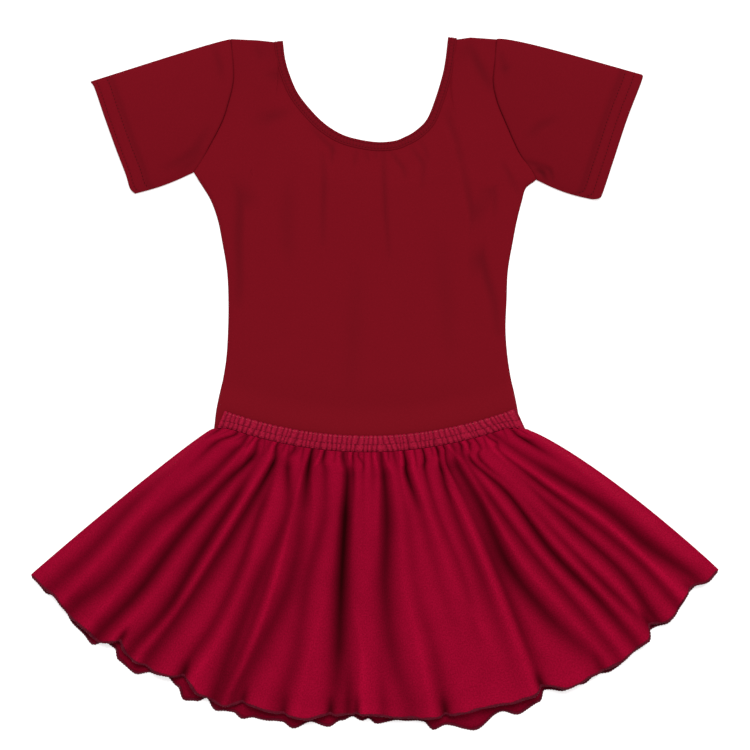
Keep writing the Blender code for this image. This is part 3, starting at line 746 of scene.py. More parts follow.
@dataclass
class Bodice:
    """The leotard's front and back."""

    pattern: LeotardPattern
    tuck: float = 1.2
    # Loft of the front: its height, how level it is across, and how it eases off at top and casing.
    loft: float = 2.4
    loft_power: int = 4
    shoulder_ease: float = 34.0
    band_clear: float = 4.0
    band_ease: float = 40.0
    # Side edges roll down below the underarm: how far, how wide, how steeply, up to where on the
    # plan, and to no less than this height.
    roll: float = 2.6
    roll_reach: float = 3.2
    roll_power: float = 2.2
    roll_above_chest: float = 16.0
    lowest: float = 0.35
    # Where the loft is less than this, creases press less, down to the least share.
    crease_loft: float = 1.2
    least_press: float = 0.15
    # Painted shade per millimetre of crease, and painted shade of the yoke above a height.
    painted_crease_shade: float = 0.62
    painted_yoke_shade: float = 0.1
    yoke_y: float = 195.0
    yoke_ease: float = 60.0
    # The back is a coarser grid, a little narrower, so that it stays hidden.
    back_thinning: tuple[int, int] = (3, 2)
    back_width: float = 0.994
    creases: tuple[Crease, ...] = (
        Crease(0.80, 4.5, (-105.5, 163), (-103.5, 142), (-105, 108), (-104, 82), (-105, 60)),
        Crease(0.55, 3.4, (55.5, 208), (59, 195), (62.7, 185), (65, 173)),
        Crease(0.85, 3.8, (64, 175), (69.5, 152), (75, 130), (80, 104), (86, 80), (92, 62), (95, 38)),
        Crease(0.55, 2.8, (87.5, 169), (90, 155), (92, 142), (92, 128)),
        Crease(0.45, 2.4, (98, 169), (104, 158), (110, 146)),
        Crease(0.70, 4.0, (72, 261), (81, 242), (90, 226)),
        Crease(0.60, 3.6, (-91, 258), (-84, 248), (-78, 238), (-68, 230)),
        Crease(0.55, 5.0, (-92, 197), (-80, 204), (-68, 208)),
        Crease(0.50, 2.2, (-49, 196), (-41, 188), (-35, 182), (-31, 176)),
        Crease(0.50, 1.7, (-32, 185), (-33, 176), (-33.5, 168)),
        Crease(0.60, 2.4, (-40.5, 175), (-39, 155), (-40, 132), (-40, 106)),
        Crease(0.45, 1.6, (-14, 179), (-15, 173), (-16, 166)),
        Crease(0.40, 1.5, (-7, 178), (-5.5, 170)),
        Crease(0.35, 1.4, (0.5, 178), (1, 172)),
        Crease(0.70, 2.0, (6.5, 180), (7, 155), (8, 131), (11, 98)),
        Crease(0.55, 1.9, (11.5, 179), (17, 171), (22, 164), (23.5, 157)),
        Crease(0.55, 2.0, (28, 181), (34, 173), (37.5, 167), (36.5, 150)),
        Crease(0.40, 1.7, (35, 187), (38.5, 179), (41, 170)),
        Crease(0.35, 6.0, (-66, 152), (-68, 120), (-66, 92)),
        Crease(0.25, 7.0, (-14, 84), (-16, 40), (-20, -4)),
        Crease(0.25, 7.0, (50, 112), (54, 66), (58, 24)),
        Crease(-0.45, 6.0, (56, 190), (62, 160), (70, 124)),
        Crease(-0.35, 6.0, (-26, 160), (-28, 110)),
        Crease(-0.40, 6.0, (-95, 152), (-96, 104), (-96, 64)),
    )

    def loft_at(self, shares: np.ndarray, x: np.ndarray, y: np.ndarray) -> np.ndarray:
        """How far the front stands above lying dead flat on the back.

        Args:
            shares: share across of each column.
            x: places across.
            y: places along.

        Returns:
            Heights, in the shape of x.
        """
        across = 1 - np.abs(2 * shares - 1) ** self.loft_power
        below_top = ease((y[-1] - y) / self.shoulder_ease)
        above_band = ease((y - self.pattern.band_top_y(x) - self.band_clear) / self.band_ease)
        return self.loft * across * below_top * above_band

    def build(self, burgundy: bpy.types.Material) -> dict[str, bpy.types.Object]:
        """Make both panels.

        Args:
            burgundy: the leotard's finish.

        Returns:
            The front and the back by name.
        """
        x, y, shares = self.pattern.panel_plan(self.tuck)
        edge_right, edge_left = self.pattern.edge_x(y, Side.RIGHT), self.pattern.edge_x(y, Side.LEFT)
        raised = self.loft_at(shares, x, y)
        folded = press_all(self.creases, x, y)
        pressed = folded * np.clip(raised / self.crease_loft, self.least_press, 1)
        inset = np.minimum(x - edge_right, edge_left - x)
        rolled = self.roll * (1 - np.clip(inset / self.roll_reach, 0, 1)) ** self.roll_power
        low = self.pattern.back_height(x, y) + WALL + SEAM_GAP + raised - pressed
        body = y < self.pattern.chest_y + self.roll_above_chest
        low -= np.minimum(rolled, np.maximum(low - self.lowest, 0)) * body
        # Painted shade: darker down the creases, and towards the top of the yoke.
        yoke = self.painted_yoke_shade * ease((y - self.yoke_y) / self.yoke_ease)
        crease = np.clip(folded * self.painted_crease_shade + yoke, 0, 1)
        chart = np.stack([x, y], axis=-1) * MM
        front = lay_grid("bodice_front_cloth", np.stack([x, y, low + CLOTH_LIFT], axis=-1), chart, crease)
        grow_wall(front, Growth.OUTWARD)
        finish_piece(front, burgundy, BURGUNDY.slot, "bodice_front")
        thin = tuple(slice(None, None, step) for step in self.back_thinning)
        x, y, chart = x[thin], y[thin], chart[thin]
        centre = (edge_left[thin] + edge_right[thin]) / 2
        x = centre + (x - centre) * self.back_width
        low = self.pattern.back_height(x, y) + FLOOR_LIFT
        back = lay_grid("bodice_back_cloth", np.stack([x, y, low], axis=-1), chart, np.zeros(x.shape))
        grow_wall(back, Growth.OUTWARD)
        finish_piece(back, burgundy, BURGUNDY.slot, "bodice_back")
        return {"front": front, "back": back}


@dataclass
class Sleeve:
    """A short sleeve, a tube laid flat, with a turned and twin-stitched hem."""

    name: str
    side: Side
    pattern: LeotardPattern
    cuff: Table
    top_bow: float
    under_bow: float
    hem_rows: tuple[float, float]
    shade: float
    creases: tuple[Crease, ...]
    # Loft of the upper layer: its height, how blunt it is across, and its share and place in a
    # half wave at armhole and cuff.
    loft: float = 3.2
    loft_bluntness: float = 0.8
    end_loft: float = 0.2
    loft_end: float = 0.08
    # Grooves of the hem rows, the ledge of the turned edge, the armhole seam and the doubled hem.
    groove: float = 0.25
    groove_width: float = 0.9
    ledge: float = 0.3
    ledge_width: float = 2.6
    seam: float = 0.35
    seam_width: float = 1.2
    turned: float = 0.35
    turned_ease: float = 2.0
    # Painted shade per millimetre of crease and groove, and along the ledge and the seam.
    painted_crease_shade: float = 0.62
    painted_groove_shade: float = 0.5
    painted_ledge_shade: float = 0.32
    painted_seam_shade: float = 0.7
    # How square the tube's folds are, and the grid's size.
    fold_power: int = 6
    stations: int = 84
    across_steps: int = 72
    under_steps: int = 30
    line_points: int = 120
    cuff_points: int = 160
    # Points of a hem row, and the shares across between which it runs.
    row_points: int = 80
    row_ends: tuple[float, float] = (0.02, 0.98)

    def armhole(self) -> np.ndarray:
        """Seam line of the armhole.

        Returns:
            Plan points from underarm to shoulder.
        """
        low, high = self.pattern.underarm_y(self.side), self.pattern.shoulder_y(self.side)
        y = np.linspace(low, high, self.line_points)
        return np.stack([self.pattern.edge_x(y, self.side), y], axis=-1)

    def plan(self, across: np.ndarray, along: np.ndarray) -> np.ndarray:
        """Plan points of the flattened tube.

        Args:
            across: 0 at the underarm fold, 1 at the top fold.
            along: 0 at the armhole, 1 at the cuff.

        Returns:
            Points by along and across.
        """
        seam = along_line(self.armhole(), across)
        cuff = along_line(smooth_line(self.cuff, self.cuff_points), across)
        point = seam[None] * (1 - along[:, None, None]) + cuff[None] * along[:, None, None]
        bow = np.sin(np.pi * np.sqrt(along))[:, None] * self.top_bow * across[None] ** 3
        bow = bow - np.sin(np.pi * along)[:, None] * self.under_bow * (1 - across[None]) ** 3
        point[..., 1] += bow
        return point

    def rim(self, across: np.ndarray) -> np.ndarray:
        """How open the tube is across, from 0 at its folds to 1."""
        return np.sqrt(np.clip(1 - np.abs(2 * across - 1) ** self.fold_power, 0, 1))

    def top_height(self, across: np.ndarray, along: np.ndarray,
                   point: np.ndarray) -> tuple[np.ndarray, np.ndarray]:
        """Height of the upper layer and how dark its creases are.

        Args:
            across: 0 at the underarm fold, 1 at the top fold.
            along: 0 at the armhole, 1 at the cuff.
            point: the plan points.

        Returns:
            Both by along and across; the second is painted shade, more in creases, grooves, ledge and seam.
        """
        middle = WALL + SEAM_GAP / 2
        puff = self.loft * np.sin(np.pi * across)[None] ** self.loft_bluntness
        swell = np.sin(np.pi * (self.loft_end + (1 - 2 * self.loft_end) * along))
        puff = puff * (self.end_loft + (1 - self.end_loft) * swell)[:, None]
        pressed = press_all(self.creases, point[..., 0], point[..., 1])
        length = np.linalg.norm(point[-1] - point[0], axis=-1)[None]
        from_cuff = (1 - along)[:, None] * length
        groove = np.zeros(point.shape[:2])
        for row in self.hem_rows:
            groove += self.groove * np.exp(-((from_cuff - row) / self.groove_width) ** 2)
        past_row = from_cuff - self.hem_rows[1]
        ledge = np.exp(-((past_row - self.ledge_width) / self.ledge_width) ** 2)
        seam = self.seam * np.exp(-(along[:, None] * length / self.seam_width) ** 2)
        turned = self.turned * ease(0.5 - past_row / self.turned_ease)
        shaped = middle + puff - pressed - groove - self.ledge * ledge - seam + turned
        # Painted shade: the sleeve's even shade, more in creases and hem grooves, along the ledge past the
        # inner row and at the armhole seam.
        dark = self.shade + pressed * self.painted_crease_shade + groove * self.painted_groove_shade
        dark = dark + ledge * self.painted_ledge_shade + seam * self.painted_seam_shade
        return middle + self.rim(across)[None] * shaped, np.clip(dark, 0, 1)

    def build(self, burgundy: bpy.types.Material) -> bpy.types.Object:
        """Make the sleeve.

        Args:
            burgundy: the leotard's finish.

        Returns:
            The sleeve.
        """
        along = np.linspace(0, 1, self.stations)
        across = (1 - np.cos(np.linspace(0, np.pi, self.across_steps))) / 2
        upper = self.plan(across, along)
        top, crease = self.top_height(across, along, upper)
        under_across = (1 + np.cos(np.linspace(0, np.pi, self.under_steps))) / 2
        lower = self.plan(under_across, along)
        low_edge = (WALL + SEAM_GAP / 2) * (1 - self.rim(under_across))
        bottom = np.repeat(low_edge[None], self.stations, axis=0)
        ring = np.concatenate([np.dstack([upper, top]), np.dstack([lower, bottom])[:, 1:]], axis=1)
        painted_shade = np.concatenate([crease, np.zeros(bottom[:, 1:].shape)], axis=1)
        girth = np.linalg.norm(np.diff(ring, axis=1), axis=-1).cumsum(axis=1)
        girth = np.concatenate([np.zeros((self.stations, 1)), girth], axis=1)
        length = np.linalg.norm(ring - ring[:1], axis=-1)
        chart = np.stack([girth, length], axis=-1) * MM
        piece = lay_grid(self.name + "_cloth", ring, chart, painted_shade)
        close_seams(piece)
        grow_wall(piece, Growth.INWARD)
        finish_piece(piece, burgundy, BURGUNDY.slot, self.name)
        return piece

    def hem_paths(self) -> list[np.ndarray]:
        """Plan lines of the two hem rows, across the sleeve's upper side.

        Returns:
            A line for each row.
        """
        across = np.linspace(*self.row_ends, self.row_points)
        seam, cuff = self.plan(across, np.array([0.0, 1.0]))
        length = np.linalg.norm(cuff - seam, axis=-1)[:, None]
        return [cuff + (seam - cuff) * row / length for row in self.hem_rows]


@dataclass
class NeckBinding:
    """The narrow bound edge round the neck, in one closed strip."""

    pattern: LeotardPattern
    low: float = 0.75
    high: float = 2.55
    # Places along each edge, how many are left out at its start, and sections round each shoulder.
    steps: int = 560
    tucked: int = 2
    turn_steps: int = 10
    # Outer face from free edge to sewn edge: share across, and how far it stands out.
    profile: Table = (
        (0.0, 0.1), (0.04, 0.5), (0.14, 0.72), (0.26, 0.48), (0.4, 0.66), (0.5, 0.7), (0.6, 0.66),
        (0.74, 0.48), (0.86, 0.72), (0.96, 0.55), (1.0, 0.1),
    )
    # Inner face on its way back: shares across, and how far it stands in.
    back_shares: tuple[float, ...] = (1.0, 0.5, 0.0)
    back_depth: float = 0.7
    # Numbers in the profile: free edge, both grooves, middle, sewn edge, and the ridge between grooves.
    free_edge: int = 0
    grooves: tuple[int, int] = (3, 7)
    middle: int = 5
    sewn_edge: int = 10
    ridge: tuple[int, int] = (4, 7)
    # Tones: an even one over the whole binding, painted shade in the grooves and at the free and sewn edges,
    # and the ridge's, with ticks of the cover thread at this pitch.
    plain_tone: float = 0.3
    painted_groove_shade: float = 0.5
    painted_sewn_edge_shade: float = 0.7
    ridge_tone: float = 0.34
    tick_tone: float = 0.18
    tick_pitch: float = 2.7
    stitch_points: int = 300
    stitch_margin: int = 4

    def section(self, inside: np.ndarray, outside: np.ndarray, turn: float) -> np.ndarray:
        """Points round the strip at one place.

        Args:
            inside: plan point of the free edge.
            outside: plan point of the sewn edge.
            turn: which way its outer face looks, from pi/2, up, to -pi/2, down.

        Returns:
            Points in millimetres.
        """
        out = np.array([0.0, math.cos(turn), math.sin(turn)])
        centre = out * (self.high - self.low) / 2
        centre[2] += (self.high + self.low) / 2
        ring = []
        for share, rise in (*self.profile, *((share, -self.back_depth) for share in self.back_shares)):
            edge = inside * (1 - share) + outside * share
            ring.append(np.array([edge[0], edge[1], 0.0]) + centre + out * rise)
        return np.array(ring + ring[:1])

    def build(self, burgundy: bpy.types.Material) -> bpy.types.Object:
        """Make the binding.

        Args:
            burgundy: the leotard's finish.

        Returns:
            The binding.
        """
        width = self.pattern.binding_width
        inner = self.pattern.neck_line(0.0, self.steps)[self.tucked:]
        outer = self.pattern.neck_line(width, self.steps)[self.tucked:]
        up = math.pi / 2
        turns = np.linspace(up, -up, self.turn_steps + 2)[1:-1]
        rings = [self.section(a, b, up) for a, b in zip(inner, outer)]
        rings += [self.section(inner[-1], outer[-1], turn) for turn in turns]
        rings += [self.section(a, b, -up) for a, b in zip(inner[::-1], outer[::-1])]
        rings += [self.section(inner[0], outer[0], turn) for turn in turns[::-1]]
        grid = np.array(rings + rings[:1])
        round_length = np.linalg.norm(np.diff(grid, axis=0), axis=-1).cumsum(axis=0)
        round_length = np.concatenate([np.zeros((1, grid.shape[1])), round_length])
        across = np.tile(np.linspace(0, 2 * width, grid.shape[1]), (len(grid), 1))
        chart = np.stack([across, round_length], axis=-1) * MM
        tick = np.cos(2 * np.pi * round_length[:, self.middle] / self.tick_pitch)
        # Painted shade in the grooves and at the free and sewn edges.
        painted_shade = np.full(grid.shape[:2], self.plain_tone)
        painted_shade[:, [self.free_edge, *self.grooves]] = self.painted_groove_shade
        painted_shade[:, self.sewn_edge] = self.painted_sewn_edge_shade
        painted_shade[:, slice(*self.ridge)] = self.ridge_tone + self.tick_tone * tick[:, None]
        piece = lay_grid("neck_binding_cloth", grid, chart, painted_shade)
        close_seams(piece)
        finish_piece(piece, burgundy, BURGUNDY.slot, "neck_binding")
        return piece

    def stitch_paths(self) -> list[np.ndarray]:
        """Plan lines of the two cover-stitch rows, in the grooves.

        Returns:
            A line for each row.
        """
        outward = [self.pattern.binding_width * self.profile[groove][0] for groove in self.grooves]
        kept = slice(self.stitch_margin, -self.stitch_margin)
        return [self.pattern.neck_line(distance, self.stitch_points)[kept] for distance in outward]


@dataclass
class Waistband:
    """The gathered elastic casing, in a front and a back strip."""

    pattern: LeotardPattern
    low_ends: tuple[float, float] = (-121.3, 115.6)
    top_ends: tuple[float, float] = (-115.5, 108.5)
    end_drop: float = 6.2
    thickness: float = 1.7
    # Height of each strip's lower face.
    front_floor: float = 5.6
    back_floor: float = 0.45
    # Ribs: how many, how high and how blunt, and how size, spacing, slant and lower half vary.
    ribs: int = 58
    rib_height: float = 0.9
    rib_bluntness: float = 0.5
    rib_size: float = 0.75
    size_wander: Wander = Wander(0.25, 1.0, 9)
    spacing_wander: Wander = Wander(0.38, 1 / 34, 3)
    slant_wander: Wander = Wander(0.5, 1 / 16, 5)
    lower_wander: Wander = Wander(0.3, 1 / 40, 27)
    lower_ease: float = 0.08
    # Rows of stitches: shares up the strip, and how much and how widely they pinch the ribs.
    stitch_rows: tuple[float, float] = (0.46, 0.09)
    pinch: float = 0.5
    pinch_width: float = 0.05
    edge_row: float = 0.93
    # Both edges roll down: how much of the strip each takes, how high the lower one stays, and the
    # least share of thickness and of ribbing.
    top_roll: float = 0.1
    low_roll: float = 0.06
    low_share: float = 0.6
    edge_thickness: float = 0.35
    edge_ribbing: float = 0.3
    # Lower edge reaching down over the skirt, upper edge scalloped by the ribs, wearer's left end sunk.
    low_reach: float = 0.28
    scallop: float = 0.5
    scallop_start: float = 0.8
    end_fall: float = 1.5
    end_start: float = 0.985
    # Painted shade between the ribs and where the stitch rows pinch them.
    painted_valley_shade: float = 0.9
    painted_pinch_shade: float = 0.25
    # The grid's size, and the rows' points and ends.
    rib_columns: int = 9
    rows: int = 22
    row_points: int = 240
    row_ends: tuple[float, float] = (0.004, 0.99)

    def plan(self, share: np.ndarray, up: np.ndarray) -> tuple[np.ndarray, np.ndarray]:
        """Plan points of the strip.

        Args:
            share: share across.
            up: share up the strip.

        Returns:
            x and y.
        """
        low_x = self.low_ends[0] + share * (self.low_ends[1] - self.low_ends[0])
        top_x = self.top_ends[0] + share * (self.top_ends[1] - self.top_ends[0])
        low_y = self.pattern.waist_y(low_x, self.end_drop) + SEAM_GAP
        return low_x + up * (top_x - low_x), low_y + up * (self.pattern.band_top_y(top_x) - low_y)

    def build(self, face: Face, material: bpy.types.Material) -> bpy.types.Object:
        """Make one strip; ribs show on the front one alone.

        Args:
            face: which strip.
            material: its finish.

        Returns:
            The strip.
        """
        ribbed = float(face is Face.FRONT)
        floor = self.front_floor if face is Face.FRONT else self.back_floor
        share, up = np.meshgrid(np.linspace(0, 1, self.ribs * self.rib_columns), np.linspace(0, 1, self.rows))
        lean = self.slant_wander.at(share) * (up - 0.5)
        lower = self.lower_wander.at(share) * ease((0.5 - up) / self.lower_ease)
        phase = self.ribs * share + self.spacing_wander.at(share) + lean + lower
        crest = np.abs(np.cos(np.pi * phase)) ** self.rib_bluntness
        size = self.rib_size + self.size_wander.at(np.floor(phase + 0.5))
        pinch = np.ones(share.shape)
        for row in self.stitch_rows:
            pinch -= self.pinch * np.exp(-((up - row) / self.pinch_width) ** 2)
        low_edge = self.low_share + (1 - self.low_share) * ease(up / self.low_roll)
        rolled = ease((1 - up) / self.top_roll) * low_edge
        ribbing = ribbed * self.rib_height * crest * size * pinch
        top = floor + self.thickness * (self.edge_thickness + (1 - self.edge_thickness) * rolled)
        top = top + ribbing * (self.edge_ribbing + (1 - self.edge_ribbing) * rolled)
        top = top - ribbed * self.end_fall * ease((share - self.end_start) / (1 - self.end_start))
        scallop = self.scallop * crest * ease((up - self.scallop_start) / (1 - self.scallop_start))
        x, y = self.plan(share, up)
        y = y - self.low_reach * (1 - up) + ribbed * scallop
        chart = np.stack([x, y], axis=-1) * MM
        painted_shade = ribbed * np.clip((1 - crest) * self.painted_valley_shade + (1 - pinch) * self.painted_pinch_shade, 0, 1)
        name = f"waistband_{face.value}"
        piece = lay_grid(name + "_cloth", np.stack([x, y, top], axis=-1), chart, painted_shade)
        grow_wall(piece, Growth.INWARD, CASING_CLOTH)
        finish_piece(piece, material, CASING.slot, name)
        return piece

    def row_path(self, up: float) -> np.ndarray:
        """Plan line along the strip at a share up it."""
        share = np.linspace(*self.row_ends, self.row_points)
        return np.stack(self.plan(share, np.full(share.shape, up)), axis=-1)


@dataclass(frozen=True)
class Trough:
    """A valley between two folds of the skirt, or the crest of one, followed from waist to hem.

    Places are shares of the way along the skirt. Depths are shares of the folds' height, below 0
    for a crest, and also set painted shade: darker down a valley, a painted highlight on a crest.
    Nearer and farther widen its two flanks, towards the wearer's right and left.
    """

    places: tuple[float, ...]
    depths: tuple[float, ...]
    nearer: float
    farther: float


# Shares of the way from waist to hem at which valleys and crests are read.
FOLD_LEVELS = (0.02, 0.05, 0.09, 0.25, 0.5, 0.75, 0.96)
VALLEYS = (
    Trough((.033, .030, .025, .026, .027, .035, .033), (.35, .13, .05, .15, .50, .50, .48), 1.5, 1.2),
    Trough((.088, .073, .062, .060, .055, .056, .052), (.55, .37, .45, .15, .00, .00, .00), 1.0, 1.0),
    Trough((.122, .126, .119, .107, .081, .083, .070), (.45, .39, .52, .58, .56, .58, .62), 1.3, 1.3),
    Trough((.158, .166, .168, .145, .132, .129, .118), (.40, .48, .85, .70, .75, .78, .68), 1.1, 1.1),
    Trough((.195, .196, .190, .187, .180, .179, .165), (.15, .11, .20, .68, .74, .74, .58), 1.1, 0.85),
    Trough((.214, .223, .228, .222, .211, .200, .189), (.60, .59, .97, .72, .66, .62, .58), 0.75, 1.3),
    Trough((.240, .243, .246, .248, .256, .252, .237), (.20, .08, .05, .50, .50, .45, .50), 0.8, 0.8),
    Trough((.270, .264, .271, .307, .296, .290, .288), (.50, .23, .65, .42, .55, .60, .62), 1.1, 1.25),
    Trough((.323, .325, .328, .343, .350, .331, .313), (.85, .95, .90, .45, .58, .56, .57), 1.3, 1.5),
    Trough((.363, .364, .377, .392, .381, .383, .375), (.76, .39, .35, .40, .45, .37, .45), 1.2, 1.1),
    Trough((.421, .429, .439, .441, .443, .446, .445), (.60, .45, .80, 1.00, .95, .80, .40), 1.3, 1.5),
    Trough((.451, .453, .456, .460, .462, .462, .463), (.50, .39, .35, .00, .00, .00, .60), 0.6, 0.8),
    Trough((.469, .485, .482, .483, .485, .485, .488), (.30, .16, .15, .08, .00, .00, .00), 0.6, 0.6),
    Trough((.509, .509, .509, .505, .505, .507, .509), (.20, .16, .15, .02, .00, .05, .35), 0.6, 0.8),
    Trough((.540, .539, .541, .538, .523, .526, .545), (.55, .54, .78, .80, .68, .50, .35), 1.4, 1.5),
    Trough((.579, .581, .583, .585, .577, .588, .590), (.30, .14, .05, .25, .20, .27, .50), 0.85, 1.0),
    Trough((.611, .610, .606, .617, .622, .630, .635), (.80, .95, .94, .33, .20, .05, .00), 0.9, 0.95),
    Trough((.671, .667, .657, .654, .665, .656, .650), (.75, .87, .40, .33, .25, .10, .00), 0.8, 0.7),
    Trough((.714, .708, .702, .693, .696, .694, .690), (.92, .37, .80, .47, .45, .25, .05), 1.0, 0.8),
    Trough((.735, .726, .722, .728, .728, .724, .721), (.55, .42, .50, .32, .50, .52, .36), 0.35, 1.1),
    Trough((.762, .756, .749, .755, .752, .773, .800), (.30, .28, .68, .75, .85, .68, .35), 1.5, 1.1),
    Trough((.787, .777, .774, .782, .797, .814, .824), (.62, .34, .20, .50, .50, .48, .33), 0.95, 0.7),
    Trough((.811, .799, .790, .820, .828, .846, .854), (.50, .23, .60, .72, .80, .74, .52), 0.8, 0.75),
    Trough((.834, .830, .811, .838, .853, .868, .880), (.35, .21, .42, .05, .30, .54, .30), 0.6, 0.6),
    Trough((.850, .851, .852, .866, .883, .898, .895), (.00, .00, .00, .25, .62, .62, .68), 0.85, 0.7),
    Trough((.871, .878, .868, .885, .911, .925, .927), (.30, .39, .10, .52, .48, .47, .42), 0.65, 0.7),
    Trough((.890, .893, .897, .919, .946, .954, .968), (.35, .18, .25, .60, .66, .72, .60), 1.0, 1.2),
    Trough((.944, .938, .943, .955, .975, .982, .988), (.50, .48, .65, .10, .00, .00, .00), 1.0, 1.0),
    Trough((.305, .305, .305, .307, .309, .305, .296), (.00, .00, .00, .05, .28, .28, .15), 0.5, 0.35),
)
# Crests raise the folds and also paint them lighter, a painted highlight along each.
CRESTS = (
    Trough((.050, .050, .050, .052, .053, .055, .055), (.00, .00, .00, .00, -.15, -.15, -.20), 0.6, 0.6),
    Trough((.132, .133, .134, .124, .111, .105, .102), (-.15, -.15, -.15, -.20, -.15, -.15, -.18), 0.6, 0.6),
    Trough((.148, .149, .151, .167, .154, .150, .138), (-.20, -.16, -.10, -.15, -.05, -.05, -.20), 0.5, 0.5),
    Trough((.206, .209, .213, .205, .197, .190, .176), (-.25, -.19, -.12, -.25, -.28, -.30, -.20), 0.5, 0.5),
    Trough((.245, .244, .243, .266, .272, .267, .255), (-.10, -.10, -.10, -.05, -.10, -.12, -.20), 0.5, 0.6),
    Trough((.313, .313, .314, .319, .323, .317, .304), (-.35, -.33, -.30, -.22, -.28, -.34, -.34), 0.4, 0.5),
    Trough((.353, .348, .342, .369, .372, .370, .370), (-.30, -.24, -.15, -.10, .00, .00, .00), 0.5, 0.5),
    Trough((.408, .414, .423, .425, .422, .403, .397), (-.10, -.10, -.10, -.15, -.05, -.10, -.10), 0.6, 0.4),
    Trough((.443, .452, .463, .462, .461, .480, .481), (-.15, -.13, -.10, -.20, -.05, -.12, -.45), 0.4, 0.6),
    Trough((.520, .523, .527, .517, .510, .500, .500), (-.20, -.20, -.20, -.18, .00, .00, .00), 0.6, 0.5),
    Trough((.552, .558, .566, .566, .559, .569, .574), (-.20, -.14, -.05, -.05, -.05, -.15, -.15), 0.6, 0.5),
    Trough((.600, .597, .592, .590, .590, .590, .590), (-.20, -.18, -.15, .00, .00, .00, .00), 0.5, 0.5),
    Trough((.632, .630, .627, .636, .647, .672, .680), (-.20, -.18, -.15, -.10, -.05, -.08, .00), 0.5, 0.6),
    Trough((.705, .701, .695, .712, .714, .711, .709), (-.25, -.23, -.20, -.15, -.20, -.10, -.10), 0.5, 0.35),
    Trough((.752, .758, .766, .770, .775, .798, .812), (-.25, -.19, -.10, -.35, -.15, -.10, -.15), 0.5, 0.5),
    Trough((.798, .797, .796, .797, .812, .829, .836), (-.20, -.18, -.15, -.10, -.10, -.12, -.10), 0.5, 0.5),
    Trough((.820, .822, .825, .828, .841, .858, .867), (.00, .00, .00, -.12, -.20, -.18, -.05), 0.5, 0.5),
    Trough((.862, .860, .858, .862, .866, .880, .884), (-.10, -.10, -.10, -.05, -.12, -.15, -.30), 0.5, 0.5),
    Trough((.870, .872, .875, .898, .927, .937, .939), (.00, -.04, -.10, -.34, -.30, -.40, -.28), 0.5, 0.5),
)


